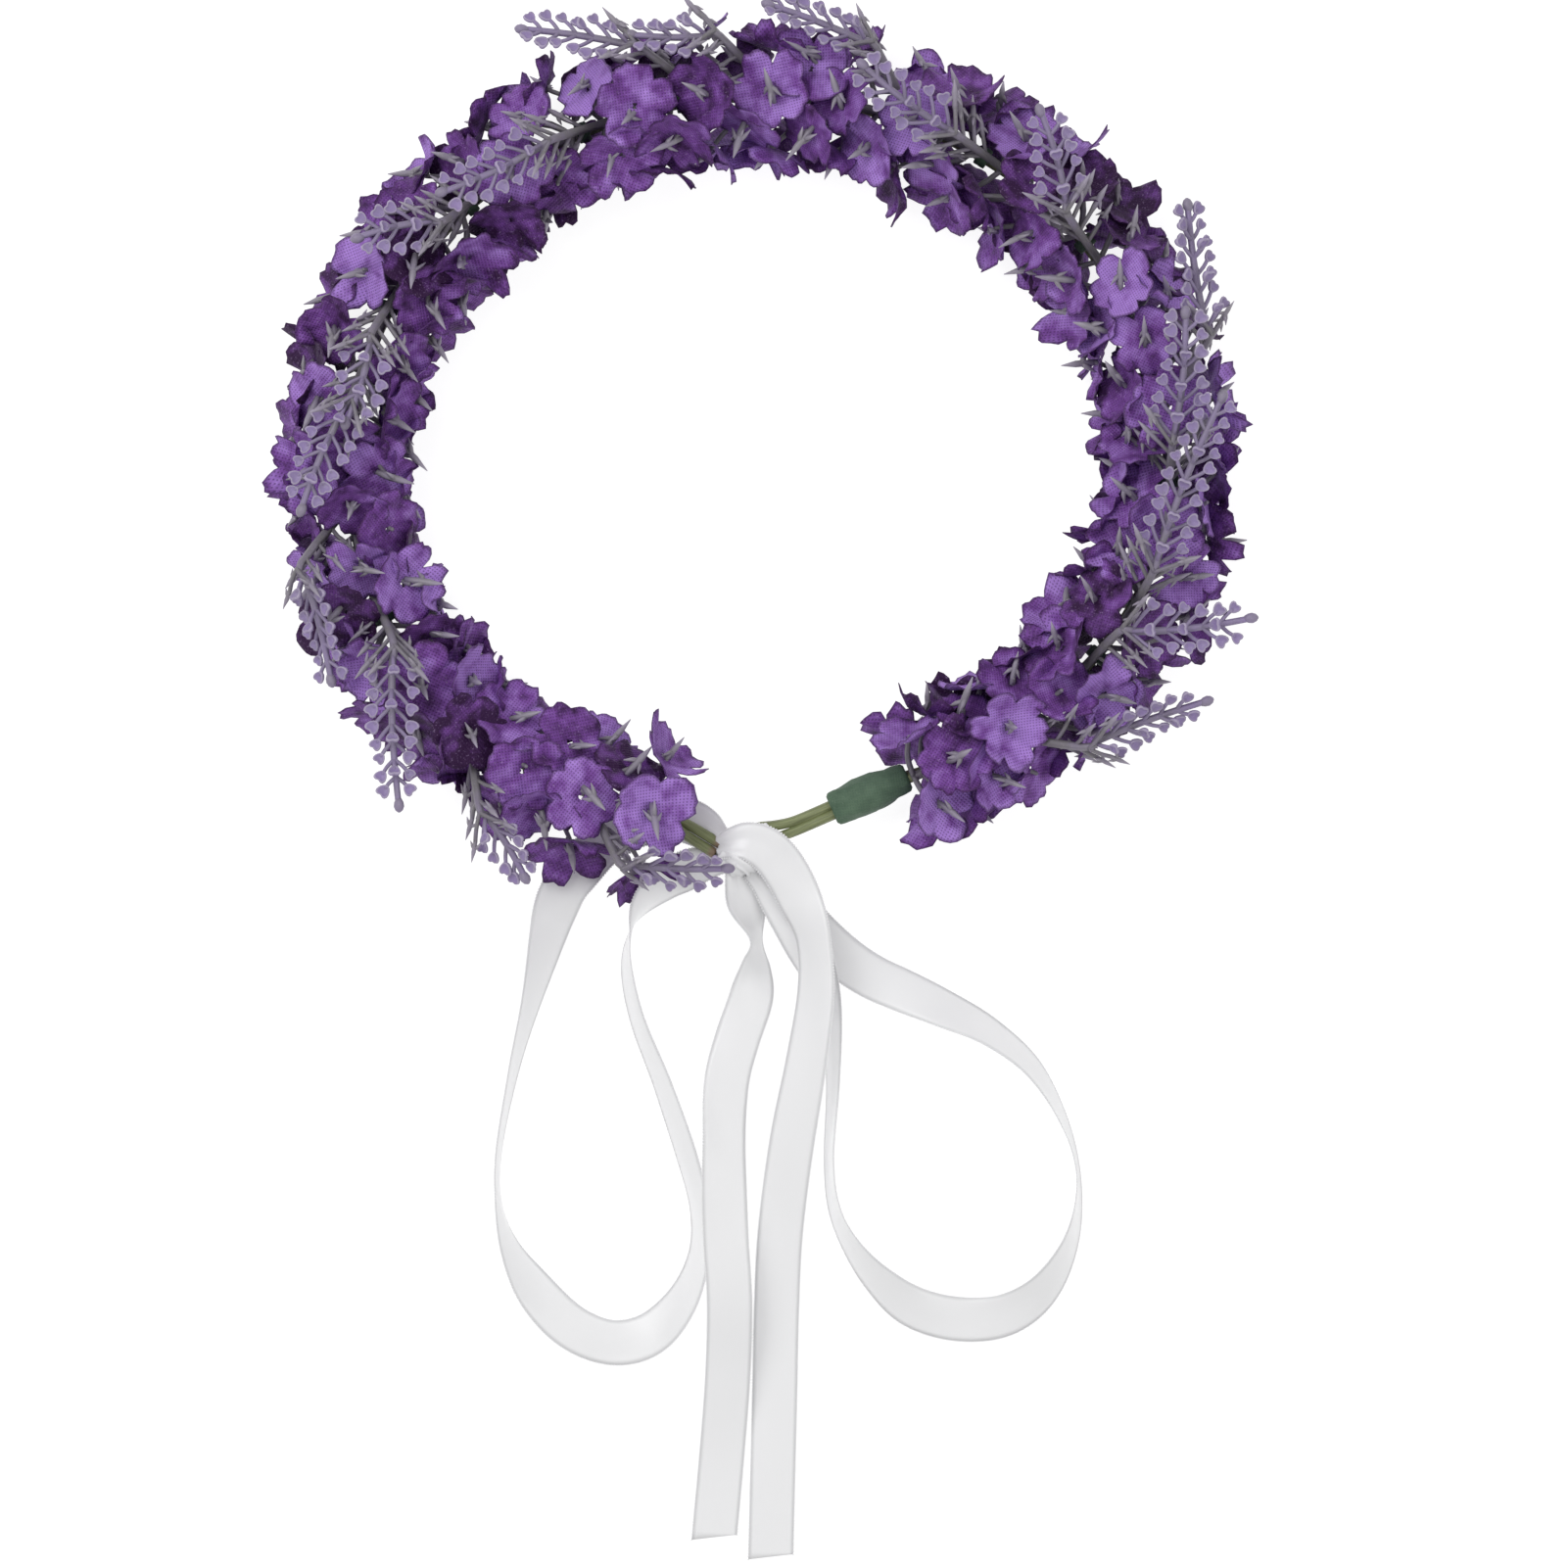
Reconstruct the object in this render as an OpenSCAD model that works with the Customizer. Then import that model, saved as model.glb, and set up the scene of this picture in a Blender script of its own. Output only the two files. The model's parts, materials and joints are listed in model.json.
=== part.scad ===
// Lavender flower crown: a doubled coated wire, moulded sprigs with fabric florets, and a ribbon tie.
// It lies flat: the origin is the middle of the head opening, on the surface that it lies on.

/* [Ring] */
// Half width of the flowered ring at its centreline, along X
ring_a = 104.5; // [95:0.5:115]
// Half width of the flowered ring at its centreline, along Y
ring_b = 95; // [88:0.5:100]
// Height of the ring's centreline over the surface
ring_z = 17.3; // [17.3:0.1:20]
// Angle of the first row of florets, on the right
first_angle = -64; // [-66:1:-60]
// Angle of the last row of florets, on the left
last_angle = 254; // [248:1:256]

/* [Wire] */
// Diameter of the coated wire
wire_d = 2.2; // [1.6:0.1:2.4]
// Distance between the two runs of the wire
wire_gap = 2.5; // [2.45:0.05:2.6]
// Diameter of the floral tape sleeve
tape_d = 9; // [7:0.5:10]

/* [Florets] */
// Radius of one fabric floret
floret_r = 9.9; // [8:0.1:10]
// Thickness of the stiffened fabric
floret_t = 0.5; // [0.4:0.1:0.6]
// Distance from the ring's centreline to a floret's middle
floret_reach = 12.6; // [12.5:0.1:13]
// Lean of a floret along the ring
floret_lean = 37; // [36:1:38]

/* [Sprigs] */
// Diameter of a sprig's moulded stem
stem_d = 2.2; // [1.6:0.1:2.4]
// Diameter of an arm
arm_d = 1.2; // [0.8:0.1:1.4]
// Distance from the ring's centreline to the foot of a bare tip
tip_reach = 20.5; // [20:0.5:24]

/* [Ribbon] */
// Width of the satin ribbon
ribbon_w = 11.5; // [8:0.5:12]
// Thickness of the ribbon
ribbon_t = 0.5; // [0.3:0.1:0.8]

/* [Hidden] */
rows = 66;
tips = [
    // row, place round the ring's section, turn out of the ring, rise, length of the bare tip
    [4, 45, 15, 0, 32], [7, 90, 44, 4, 32], [9, 90, -6, 6, 47], [13, 90, 5, 5, 33], [16, 45, 7, 0, 33],
    [21, 90, 26, 6, 26], [25, 90, 7, 6, 29], [28, 45, 6, 2, 28], [32, 45, 3, 0, 21], [34, 45, 20, 0, 29],
    [37, 90, -1, 6, 30], [41, 90, 32, 4, 21], [45, 90, -10, 6, 23], [47, 90, 8, 4, 31], [52, 45, -3, 0, 29],
    [55, 90, 25, 5, 40], [60, 45, 24, 0, 20], [64, 45, -14, 0, 26]
];
sprigs = len(tips);
step_angle = (last_angle - first_angle) / (rows - 1);
wire_z = ring_z - 4.15;
// length of a binding
binding_l = 3.2;
// a sprig's foot lies this many rows before its first florets
foot_back = 1.55;
two = [for (k = [0 : sprigs - 1]) k < 9 ? str("0", k + 1) : str(k + 1)];
SPRIGS = [for (k = [0 : sprigs - 1]) str("lavender_sprig_", two[k])];
FLORETS = [for (k = [0 : sprigs - 1]) str("fabric_florets_", two[k])];

// ---- centreline of the ring ----
function ease(x) = let (u = min(1, max(0, x))) u * u * (3 - 2 * u);
function squeeze(t) = 1 - 0.09 * ease((-8 - t) / 56) - 0.04 * ease((t - 215) / 40);
function ring(t) = squeeze(t) * [ring_a * cos(t), ring_b * sin(t), 0] + [0, 0, ring_z];
function unit(v) = v / norm(v);
function along(t) = unit(ring(t + 0.5) - ring(t - 0.5));
function outward(t) = cross(along(t), [0, 0, 1]);
function row_angle(i) = first_angle + i * step_angle;
function round_dir(t, phi) = cos(phi) * outward(t) + [0, 0, sin(phi)];
function face_dir(t, phi) = cos(floret_lean) * round_dir(t, phi) + sin(floret_lean) * along(t);

// ---- which florets a sprig carries ----
first_row = [for (k = [0 : sprigs - 1]) k == 0 ? 0 : tips[k - 1][0] + 1];
last_row = [for (k = [0 : sprigs - 1]) k == sprigs - 1 ? rows - 1 : tips[k][0]];
function places(i) = i % 2 == 0 ? [45, 135, 225, 315] : [0, 90, 180];
function is_tip(k, i, phi) = tips[k][0] == i && tips[k][1] == phi;
// the ribbon passes under the last rows, so they carry nothing below
function is_open(i, phi) = i >= rows - 5 && phi > 180;
function spots(k) = [for (i = [first_row[k] : last_row[k]]) for (phi = places(i))
    if (!is_tip(k, i, phi) && !is_open(i, phi)) [i, phi]];

// ---- small builders ----
module rod(a, b, d, n = 6) {
    v = b - a;
    translate(a) rotate([0, acos(v.z / norm(v)), atan2(v.y, v.x)]) cylinder(h = norm(v), d = d, $fn = n);
}
module facing(p, n, spin = 0) {
    translate(p) rotate([0, acos(n.z / norm(n)), atan2(n.y, n.x)]) rotate([0, 0, spin]) children();
}
// a closed skin over rings of equal size
module skin(rings_list) {
    m = len(rings_list[0]);
    n = len(rings_list);
    points = [for (r = rings_list) each r];
    sides = [for (i = [0 : n - 2]) for (j = [0 : m - 1]) let (a = i * m + j, b = i * m + (j + 1) % m)
        each [[a, b, b + m], [a, b + m, a + m]]];
    polyhedron(points, concat(sides, [[for (j = [m - 1 : -1 : 0]) j]],
        [[for (j = [0 : m - 1]) (n - 1) * m + j]]), convexity = 10);
}
function spline(p, i, u) = let (
    a = p[max(0, i - 1)], b = p[i], c = p[i + 1], d = p[min(len(p) - 1, i + 2)])
    0.5 * ((2 * b) + (c - a) * u + (2 * a - 5 * b + 4 * c - d) * u * u + (3 * b - a - 3 * c + d) * u * u * u);
function smooth(p, steps) = concat(
    [for (i = [0 : len(p) - 2]) for (s = [0 : steps - 1]) spline(p, i, s / steps)], [p[len(p) - 1]]);
function heading(p, i) = unit([for (c = [0 : 2]) p[min(i + 1, len(p) - 1)][c] - p[max(i - 1, 0)][c]]);

// ---- ring wire ----
// Middle of the two runs beyond the flowers: x, y, half distance of the runs, turn of the pair
right_end = [[1, -93.8, 2.7, 90], [10, -91, 2.0, 90], [19.5, -86.9, 1.25, 80], [28, -83.1, 1.25, 50],
    [36.5, -79.4, 1.25, 20]];
left_end = [[-24.5, -88.6, 1.25, 20], [-19.5, -91.6, 1.25, 60], [-15, -94.4, 1.3, 90],
    [-10.5, -97.2, 1.6, 90]];
function pair_of(t) = [ring(t).x, ring(t).y, wire_gap / 2, 0];
wire_mid = smooth(concat(right_end, [for (t = [-62 : 8 : 250]) pair_of(t)], left_end), 2);
function wire_side(i) = cross(heading([for (p = wire_mid) [p.x, p.y, 0]], i), [0, 0, 1]);
function wire_point(i, s) = let (p = wire_mid[i])
    [p.x, p.y, wire_z] + s * p[2] * (sin(p[3]) * wire_side(i) + [0, 0, cos(p[3])]);
n_mid = len(wire_mid);
eye = [for (u = [-60 : 30 : 60]) [1 - 3.5 * cos(u), -93.8, wire_z]
    + 2.7 * sin(u) * wire_side(0) + [0, -3.5 * cos(u) * 0.35, 0]];
wire_path = concat([for (i = [n_mid - 1 : -1 : 0]) wire_point(i, -1)], eye,
    [for (i = [0 : n_mid - 1]) wire_point(i, 1)]);
function tube_ring(path, i, d, sides) = let (
    h = heading(path, i), u = unit(cross(h, [0.01, 0.02, 1])), v = cross(u, h))
    [for (j = [0 : sides - 1]) path[i] + d / 2 * (cos(360 * j / sides) * u + sin(360 * j / sides) * v)];
module ring_wire() {
    color("olivedrab") skin([for (i = [0 : len(wire_path) - 1]) tube_ring(wire_path, i, wire_d, 8)]);
}

// ---- floral tape over the wire's fold ----
tape_from = [19.5, -86.9, wire_z];
tape_to = [35.5, -79.9, wire_z];
module floral_tape() {
    v = tape_to - tape_from;
    color("darkgreen") facing(tape_from, v) difference() {
        union() {
            cylinder(h = norm(v), d = tape_d - 1.2);
            translate([0, 0, 4]) cylinder(h = norm(v) - 8, d = tape_d);
        }
        translate([0, 0, -1]) cylinder(h = norm(v) + 2, d = 5.6);
    }
}

// ---- short tape bindings that hold each sprig's foot on the wire ----
module binding(t) {
    translate([ring(t).x, ring(t).y, ring_z]) rotate([0, 0, atan2(along(t).y, along(t).x)])
        difference() {
            translate([-binding_l / 2, -2.2, -7.2]) cube([binding_l, 4.4, 9]);
            translate([-binding_l, -1.5, -6.6]) cube([2 * binding_l, 3, 4.9]);
            translate([-binding_l, -1.35, -1.5]) cube([2 * binding_l, 2.7, 2.8]);
        }
}
function foot_angle(k) = row_angle(first_row[k] - foot_back + 0.24);
module stem_bindings() {
    color("darkgreen") for (k = [1 : sprigs - 1]) binding(foot_angle(k));
}

// ---- sprigs ----
// an arm leaves its stem one row before its floret, but not under the tape
function root(i) = ring(row_angle(max(i - 1, -0.3)));
function floret_at(i, phi) = ring(row_angle(i)) + floret_reach * round_dir(row_angle(i), phi);
function tip_foot(k) = let (i = tips[k][0], t = row_angle(i))
    ring(t) + tip_reach * round_dir(t, tips[k][1]) + 0.6 * (tip_reach - floret_reach) * along(t);
function tip_dir(k) = let (t = row_angle(tips[k][0]), yaw = tips[k][2], up = tips[k][3])
    cos(up) * (cos(yaw) * along(t) + sin(yaw) * outward(t)) + [0, 0, sin(up)];
function tip_side(k) = unit(cross(tip_dir(k), round_dir(row_angle(tips[k][0]), tips[k][1])));
module arm(i, phi) {
    c = floret_at(i, phi);
    v = unit(c - root(i));
    rod(root(i) - 0.3 * v, c + 2.2 * v, arm_d);
    facing(c + 2.2 * v, v, 40 * i) cube([3, 0.8, 0.8], center = true);
}
module tip_pair(p, v, side, reach) {
    for (s = [-1, 1]) {
        e = p + reach * (0.75 * v + 0.66 * s * side);
        rod(p, e, 0.9, 4);
        rod(e - 0.6 * unit(e - p), e + 1.8 * unit(e - p), 2.4, 6);
    }
}
module sprig(k) {
    foot = max(first_row[k] - foot_back, -0.3);
    end = tips[k][0] - 1;
    far = tip_foot(k) + tips[k][4] * tip_dir(k);
    line = [for (i = concat([foot], [for (j = [max(first_row[k], 1) : last_row[k] - 1]) j]))
        ring(row_angle(i))];
    color("slategray") union() {
        skin([for (i = [0 : len(line) - 1]) tube_ring(line, i, stem_d, 6)]);
        for (s = spots(k)) arm(s[0], s[1]);
        rod(ring(row_angle(end)), tip_foot(k), 1.8);
        rod(tip_foot(k) - 0.5 * tip_dir(k), far, 1.8);
        rod(far - 1.5 * tip_dir(k), far + 2.5 * tip_dir(k), 2.6);
        for (d = [6 : 5 : tips[k][4] - 3])
            tip_pair(tip_foot(k) + d * tip_dir(k), tip_dir(k), tip_side(k), 9 - 4 * d / tips[k][4]);
    }
}

// ---- fabric florets: five lobes round a small hole ----
lobe = [[-28, 0.94], [-11, 1], [11, 1], [28, 0.94], [36, 0.7]];
outline = [for (j = [0 : 4]) for (q = lobe) floret_r * q[1] * [cos(72 * j + q[0]), sin(72 * j + q[0])]];
module floret() {
    translate([0, 0, -floret_t / 2]) linear_extrude(floret_t) difference() {
        polygon(outline);
        circle(r = arm_d / 2 + 0.4, $fn = 16);
    }
}
module florets(k) {
    color("rebeccapurple") for (s = spots(k))
        facing(floret_at(s[0], s[1]), face_dir(row_angle(s[0]), s[1]), 137 * s[0] + s[1]) floret();
}

// ---- ribbon: x, y, z of its middle and its roll, 0 flat and 90 on edge ----
left_root = [[-9.5, -101.5, 7.6, 0], [-13.5, -97, 5.8, 0], [-20.5, -92, 4.6, 0], [-31, -91, 4, 0],
    [-40, -96, 4, 0], [-46, -102.5, 7, 0]];
right_root = [[2, -100.5, 8.2, 0], [8, -101, 7.2, 0], [14, -101.5, 6.4, 0]];
left_path = [[-50.5, -108.5, 7, 0], [-54, -119, 4.5, 35], [-58.5, -136, 5.6, 65], [-63, -154, 6, 78],
    [-66.5, -174, 6, 84], [-66.5, -188, 6, 84], [-63.5, -200, 5.6, 65], [-57, -211, 4, 30], [-48, -220, 2, 10],
    [-37.5, -224, 1, 0], [-27.5, -221.5, 2.4, 20], [-19.5, -213, 4.5, 45], [-15.5, -202, 5.4, 62],
    [-15.5, -190, 5.6, 65], [-19, -175, 5.6, 65], [-24.5, -158, 5.6, 65], [-31, -141, 5.6, 68],
    [-34.5, -126, 5.6, 60], [-32.5, -116, 6, 35], [-28, -108.5, 7, 0]];
right_path = [[16.5, -108.5, 6.4, 0], [20, -118, 4, 15], [26, -126, 3, 15], [36, -131, 3, 20], [47, -136.5, 4, 35],
    [59, -143, 5, 50], [70, -153, 5.6, 65], [77.5, -166, 6, 78], [81.5, -180.5, 6, 84], [80.5, -196, 5.8, 70],
    [74, -209, 4.5, 45], [64, -216.5, 2.5, 20], [52, -218, 1.4, 8], [40, -215, 2.6, 20], [31, -208, 4.5, 45],
    [24, -199, 5.6, 65], [19.5, -189, 6, 75], [18, -176, 6, 78], [18.5, -158, 6, 78], [19.5, -140, 6, 75],
    [18.6, -128, 6.6, 60]];
left_tail_path = [[-4, -108.5, 8, 0], [-2, -119, 9.5, 35], [-2.5, -132, 10.5, 20], [-7, -152, 12, 0],
    [-9, -172, 13.4, 0], [-8.5, -195, 13.4, 0], [-7.5, -213, 12, 0], [-8, -232, 6, 0], [-9.5, -252, 1.5, 0],
    [-11.5, -274, 0.6, 0]];
right_tail_path = [[11.5, -108.5, 8.6, 0], [13.5, -120, 13, 0], [14, -134, 14.6, 0], [11.5, -152, 14.6, 0],
    [8, -172, 12, 0], [5.5, -195, 7, 0], [4.5, -215, 3, 0], [4, -238, 0.8, 0], [3.5, -258, 0.6, 0],
    [3, -279, 0.6, 0]];
function strip_ring(p, i) = let (h = heading(p, i), flat = unit(cross(h, [0, 0, 1])), lift = cross(flat, h),
    w = cos(p[i][3]) * flat + sin(p[i][3]) * lift, n = cross(h, w), c = [p[i].x, p[i].y, p[i].z])
    [for (q = [[-1, -1], [1, -1], [1, 1], [-1, 1]]) c + q[0] * ribbon_w / 2 * w + q[1] * ribbon_t / 2 * n];
module strip(path, steps = 2) {
    fine = smooth(path, steps);
    color("white") skin([for (i = [0 : len(fine) - 1]) strip_ring(fine, i)]);
}
module left_loop_root() { strip(left_root); }
module right_loop_root() { strip(right_root); }
module left_loop() { strip(left_path); }
module right_loop() { strip(right_path); }
module left_tail() { strip(left_tail_path); }
module right_tail() { strip(right_tail_path); }
module ribbon_knot() {
    color("white") hull() {
        for (x = [-6.5, -2.5]) translate([x, -100, 15]) sphere(r = 3.2, $fn = 24);
        translate([-4.5, -100, 12]) sphere(r = 2.8, $fn = 24);
    }
}
// a turn of ribbon round the two runs of the wire
module ribbon_turn(p, v) {
    color("white") facing(p - 2 * unit(v), v) difference() {
        cylinder(h = 4, r = 4.4);
        translate([0, 0, -1]) cylinder(h = 6, r = 3.8);
    }
}
module ribbon_tie_left() { ribbon_turn([-12.8, -95.8, wire_z], [4.5, -2.8, 0]); }
module ribbon_tie_right() { ribbon_turn([5.5, -92.4, wire_z], [9, 2.8, 0]); }

ring_wire();
floral_tape();
stem_bindings();
ribbon_knot();
ribbon_tie_left();
ribbon_tie_right();
left_loop_root();
right_loop_root();
left_loop();
right_loop();
left_tail();
right_tail();
for (k = [0 : sprigs - 1]) sprig(k);
for (k = [0 : sprigs - 1]) florets(k);
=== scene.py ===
"""Lavender flower crown: moulded sprigs with fabric florets on a coated wire, and a satin ribbon tie."""

import json
import logging
import math
from dataclasses import dataclass, field
from enum import Enum

import bmesh
import bpy
import numpy as np
from mathutils import Matrix, Vector

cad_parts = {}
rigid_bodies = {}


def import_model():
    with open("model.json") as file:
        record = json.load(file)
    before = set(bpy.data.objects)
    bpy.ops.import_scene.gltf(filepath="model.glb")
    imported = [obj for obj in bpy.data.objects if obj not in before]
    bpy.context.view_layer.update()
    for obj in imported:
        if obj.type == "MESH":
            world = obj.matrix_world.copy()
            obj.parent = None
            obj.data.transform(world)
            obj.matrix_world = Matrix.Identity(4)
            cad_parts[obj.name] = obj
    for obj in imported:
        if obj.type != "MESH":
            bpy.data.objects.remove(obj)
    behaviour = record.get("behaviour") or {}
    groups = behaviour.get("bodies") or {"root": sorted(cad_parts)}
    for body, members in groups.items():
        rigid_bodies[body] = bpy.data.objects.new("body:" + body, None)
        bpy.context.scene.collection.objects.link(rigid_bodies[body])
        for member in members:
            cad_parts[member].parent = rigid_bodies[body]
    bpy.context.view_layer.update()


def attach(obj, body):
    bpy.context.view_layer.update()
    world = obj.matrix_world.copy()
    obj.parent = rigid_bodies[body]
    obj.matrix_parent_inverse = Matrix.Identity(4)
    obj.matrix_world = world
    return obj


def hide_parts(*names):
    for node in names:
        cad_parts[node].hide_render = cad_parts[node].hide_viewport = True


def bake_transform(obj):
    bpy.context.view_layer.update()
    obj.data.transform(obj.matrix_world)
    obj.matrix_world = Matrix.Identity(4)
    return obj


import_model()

LOG = logging.getLogger("crown")
MM = 0.001
UP = np.array([0, 0, 1.0])
OFF_UP = np.array([0.013, 0.021, 1.0])  # close to up, but no tube runs this way
CAP_BULGE = 0.25  # a tube's end stands out by this share of its radius


class Body(str, Enum):
    """The bodies that pieces ride on."""

    CROWN = "crown"
    BOW = "bow"


class Slot(str, Enum):
    """The record's material slots."""

    WIRE = "coated_wire"
    TAPE = "floral_tape"
    SPRIG = "moulded_sprig"
    FLORET = "floret_fabric"
    RIBBON = "satin_ribbon"


# ---------------------------------------------------------------- small geometry


def unit(v: np.ndarray) -> np.ndarray:
    """The vector at length one."""
    return v / max(float(np.linalg.norm(v)), 1e-12)


def smoothstep(u: float) -> float:
    """An even ease from 0 to 1."""
    u = min(1.0, max(0.0, u))
    return u * u * (3 - 2 * u)


def spline(route: np.ndarray, steps: int) -> np.ndarray:
    """A smooth line through every point of a route.

    Args:
        route: Rows of numbers, any width.
        steps: New points for each stretch of the route.

    Returns:
        The finer rows, both ends included.
    """
    n, out = len(route), []
    for i in range(n - 1):
        a, b, c, d = route[max(0, i - 1)], route[i], route[i + 1], route[min(n - 1, i + 2)]
        for s in range(steps):
            u = s / steps
            out.append(0.5 * (2 * b + (c - a) * u + (2 * a - 5 * b + 4 * c - d) * u**2
                              + (3 * b - a - 3 * c + d) * u**3))
    out.append(route[-1])
    return np.array(out)


def headings(path: np.ndarray) -> np.ndarray:
    """Unit direction of travel at each point of a path."""
    run = np.gradient(path[:, :3], axis=0)
    return run / np.maximum(np.linalg.norm(run, axis=1, keepdims=True), 1e-12)


def run_of(path: np.ndarray) -> np.ndarray:
    """The distance travelled at each point of a path."""
    return np.concatenate([[0], np.cumsum(np.linalg.norm(np.diff(path[:, :3], axis=0), axis=1))])


def turn_of(x_axis: np.ndarray, z_axis: np.ndarray) -> tuple[float, float, float]:
    """Euler angles that turn a shape's own X and Z to the two given directions.

    Args:
        x_axis: Where the shape's X should point.
        z_axis: Where its Z should point, made square to X.

    Returns:
        The three XYZ Euler angles.
    """
    x = unit(x_axis)
    z = unit(z_axis - x * float(np.dot(z_axis, x)))
    y = np.cross(z, x)
    return tuple(Matrix(np.column_stack([x, y, z]).tolist()).to_euler("XYZ"))


def ring_faces(rings: int, cols: int, closed: bool = False) -> list[tuple[int, ...]]:
    """Faces between rings of points, and from each end ring to a pole.

    Args:
        rings: Number of rings.
        cols: Points in a ring.
        closed: Whether the last ring joins the first, without poles.

    Returns:
        The faces. The poles are the two points after the rings.
    """
    faces = []
    for i in range(rings if closed else rings - 1):
        n = (i + 1) % rings
        for j in range(cols):
            k = (j + 1) % cols
            faces.append((i * cols + j, i * cols + k, n * cols + k, n * cols + j))
    for base, pole in () if closed else ((0, rings * cols), ((rings - 1) * cols, rings * cols + 1)):
        faces += [(base + j, base + (j + 1) % cols, pole) for j in range(cols)]
    return faces


def corner_uvs(faces: list[tuple[int, ...]], rows: np.ndarray) -> list[tuple[float, float]]:
    """A UV pair for each face corner, from the first two numbers of its point's row."""
    return [tuple(rows[c][:2]) for f in faces for c in f]


class Skin:
    """Collects vertices, faces, a UV for each corner and named values for each vertex, all in mm."""

    def __init__(self) -> None:
        """Starts empty."""
        self.verts: list[np.ndarray] = []
        self.faces: list[tuple[int, ...]] = []
        self.uvs: list[tuple[float, float]] = []
        self.values: dict[str, list[np.ndarray]] = {}
        self.count = 0

    def add(self, verts: np.ndarray, faces: list[tuple[int, ...]], uvs: list[tuple[float, float]],
            **values: np.ndarray) -> None:
        """Adds one closed shape.

        Args:
            verts: Its points, in mm.
            faces: Its faces, as numbers of its own points.
            uvs: One pair for each face corner, in mm.
            values: Named numbers, one for each point.
        """
        for name, got in values.items():
            if name not in self.values:
                self.values[name] = [np.zeros(self.count)]
            self.values[name].append(np.broadcast_to(np.asarray(got, float), (len(verts),)))
        for name in self.values:
            if name not in values:
                self.values[name].append(np.zeros(len(verts)))
        self.verts.append(np.asarray(verts, float))
        self.faces += [tuple(i + self.count for i in f) for f in faces]
        self.uvs += uvs
        self.count += len(verts)

    def mesh(self, name: str, smooth: bool = True) -> bpy.types.Mesh:
        """The collected shapes as one mesh, with every face outwards.

        Args:
            name: Name of the mesh.
            smooth: Whether faces are shaded smooth.

        Returns:
            The mesh, in metres.
        """
        mesh = bpy.data.meshes.new(name)
        mesh.from_pydata((np.vstack(self.verts) * MM).tolist(), [], self.faces)
        layer = mesh.uv_layers.new(name="cloth")
        layer.data.foreach_set("uv", np.array(self.uvs, np.float32).ravel())
        for key, parts in self.values.items():
            slot = mesh.attributes.new(key, "FLOAT", "POINT")
            slot.data.foreach_set("value", np.concatenate(parts).astype(np.float32))
        work = bmesh.new()
        work.from_mesh(mesh)
        bmesh.ops.recalc_face_normals(work, faces=work.faces)
        work.to_mesh(mesh)
        work.free()
        mesh.polygons.foreach_set("use_smooth", [smooth] * len(mesh.polygons))
        mesh.update()
        return mesh


def add_tube(skin: Skin, path: np.ndarray, radii: np.ndarray | float, sides: int, flute: float = 0.0,
             **values: np.ndarray) -> None:
    """Adds a closed tube along a path.

    Args:
        skin: Where it goes.
        path: Its centreline, in mm.
        radii: Its radius at each point, or one for all.
        sides: Number of sides.
        flute: Depth of the lengthwise ridges, as a share of the radius.
        values: Named numbers, one for each point of the path or one for all.
    """
    n = len(path)
    radii = np.broadcast_to(np.asarray(radii, float), (n,))
    heads, verts = headings(path), []
    angles = np.arange(sides) * math.tau / sides
    shape = 1 + flute * np.cos(angles * sides / 2)
    for p, h, r in zip(path, heads, radii):
        u = unit(np.cross(h, OFF_UP))
        v = np.cross(u, h)
        verts.append(p[:3] + r * shape[:, None] * (np.cos(angles)[:, None] * u + np.sin(angles)[:, None] * v))
    verts += [path[:1, :3] - heads[:1] * radii[0] * CAP_BULGE, path[-1:, :3] + heads[-1:] * radii[-1] * CAP_BULGE]
    run, girth, uvs = run_of(path), math.tau * float(radii.mean()) / sides, []
    for i in range(n - 1):
        for j in range(sides):
            uvs += [((j + a) * girth, run[i + b]) for a, b in ((0, 0), (1, 0), (1, 1), (0, 1))]
    for level in run[[0, -1]]:
        for j in range(sides):
            uvs += [((j + a) * girth, level + b) for a, b in ((0, 0), (1, 0), (0, 1))]
    for name, row in values.items():
        row = np.broadcast_to(np.asarray(row, float), (n,))
        values[name] = np.concatenate([np.repeat(row, sides), row[[0, -1]]])
    skin.add(np.vstack(verts), ring_faces(n, sides), uvs, **values)


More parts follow.
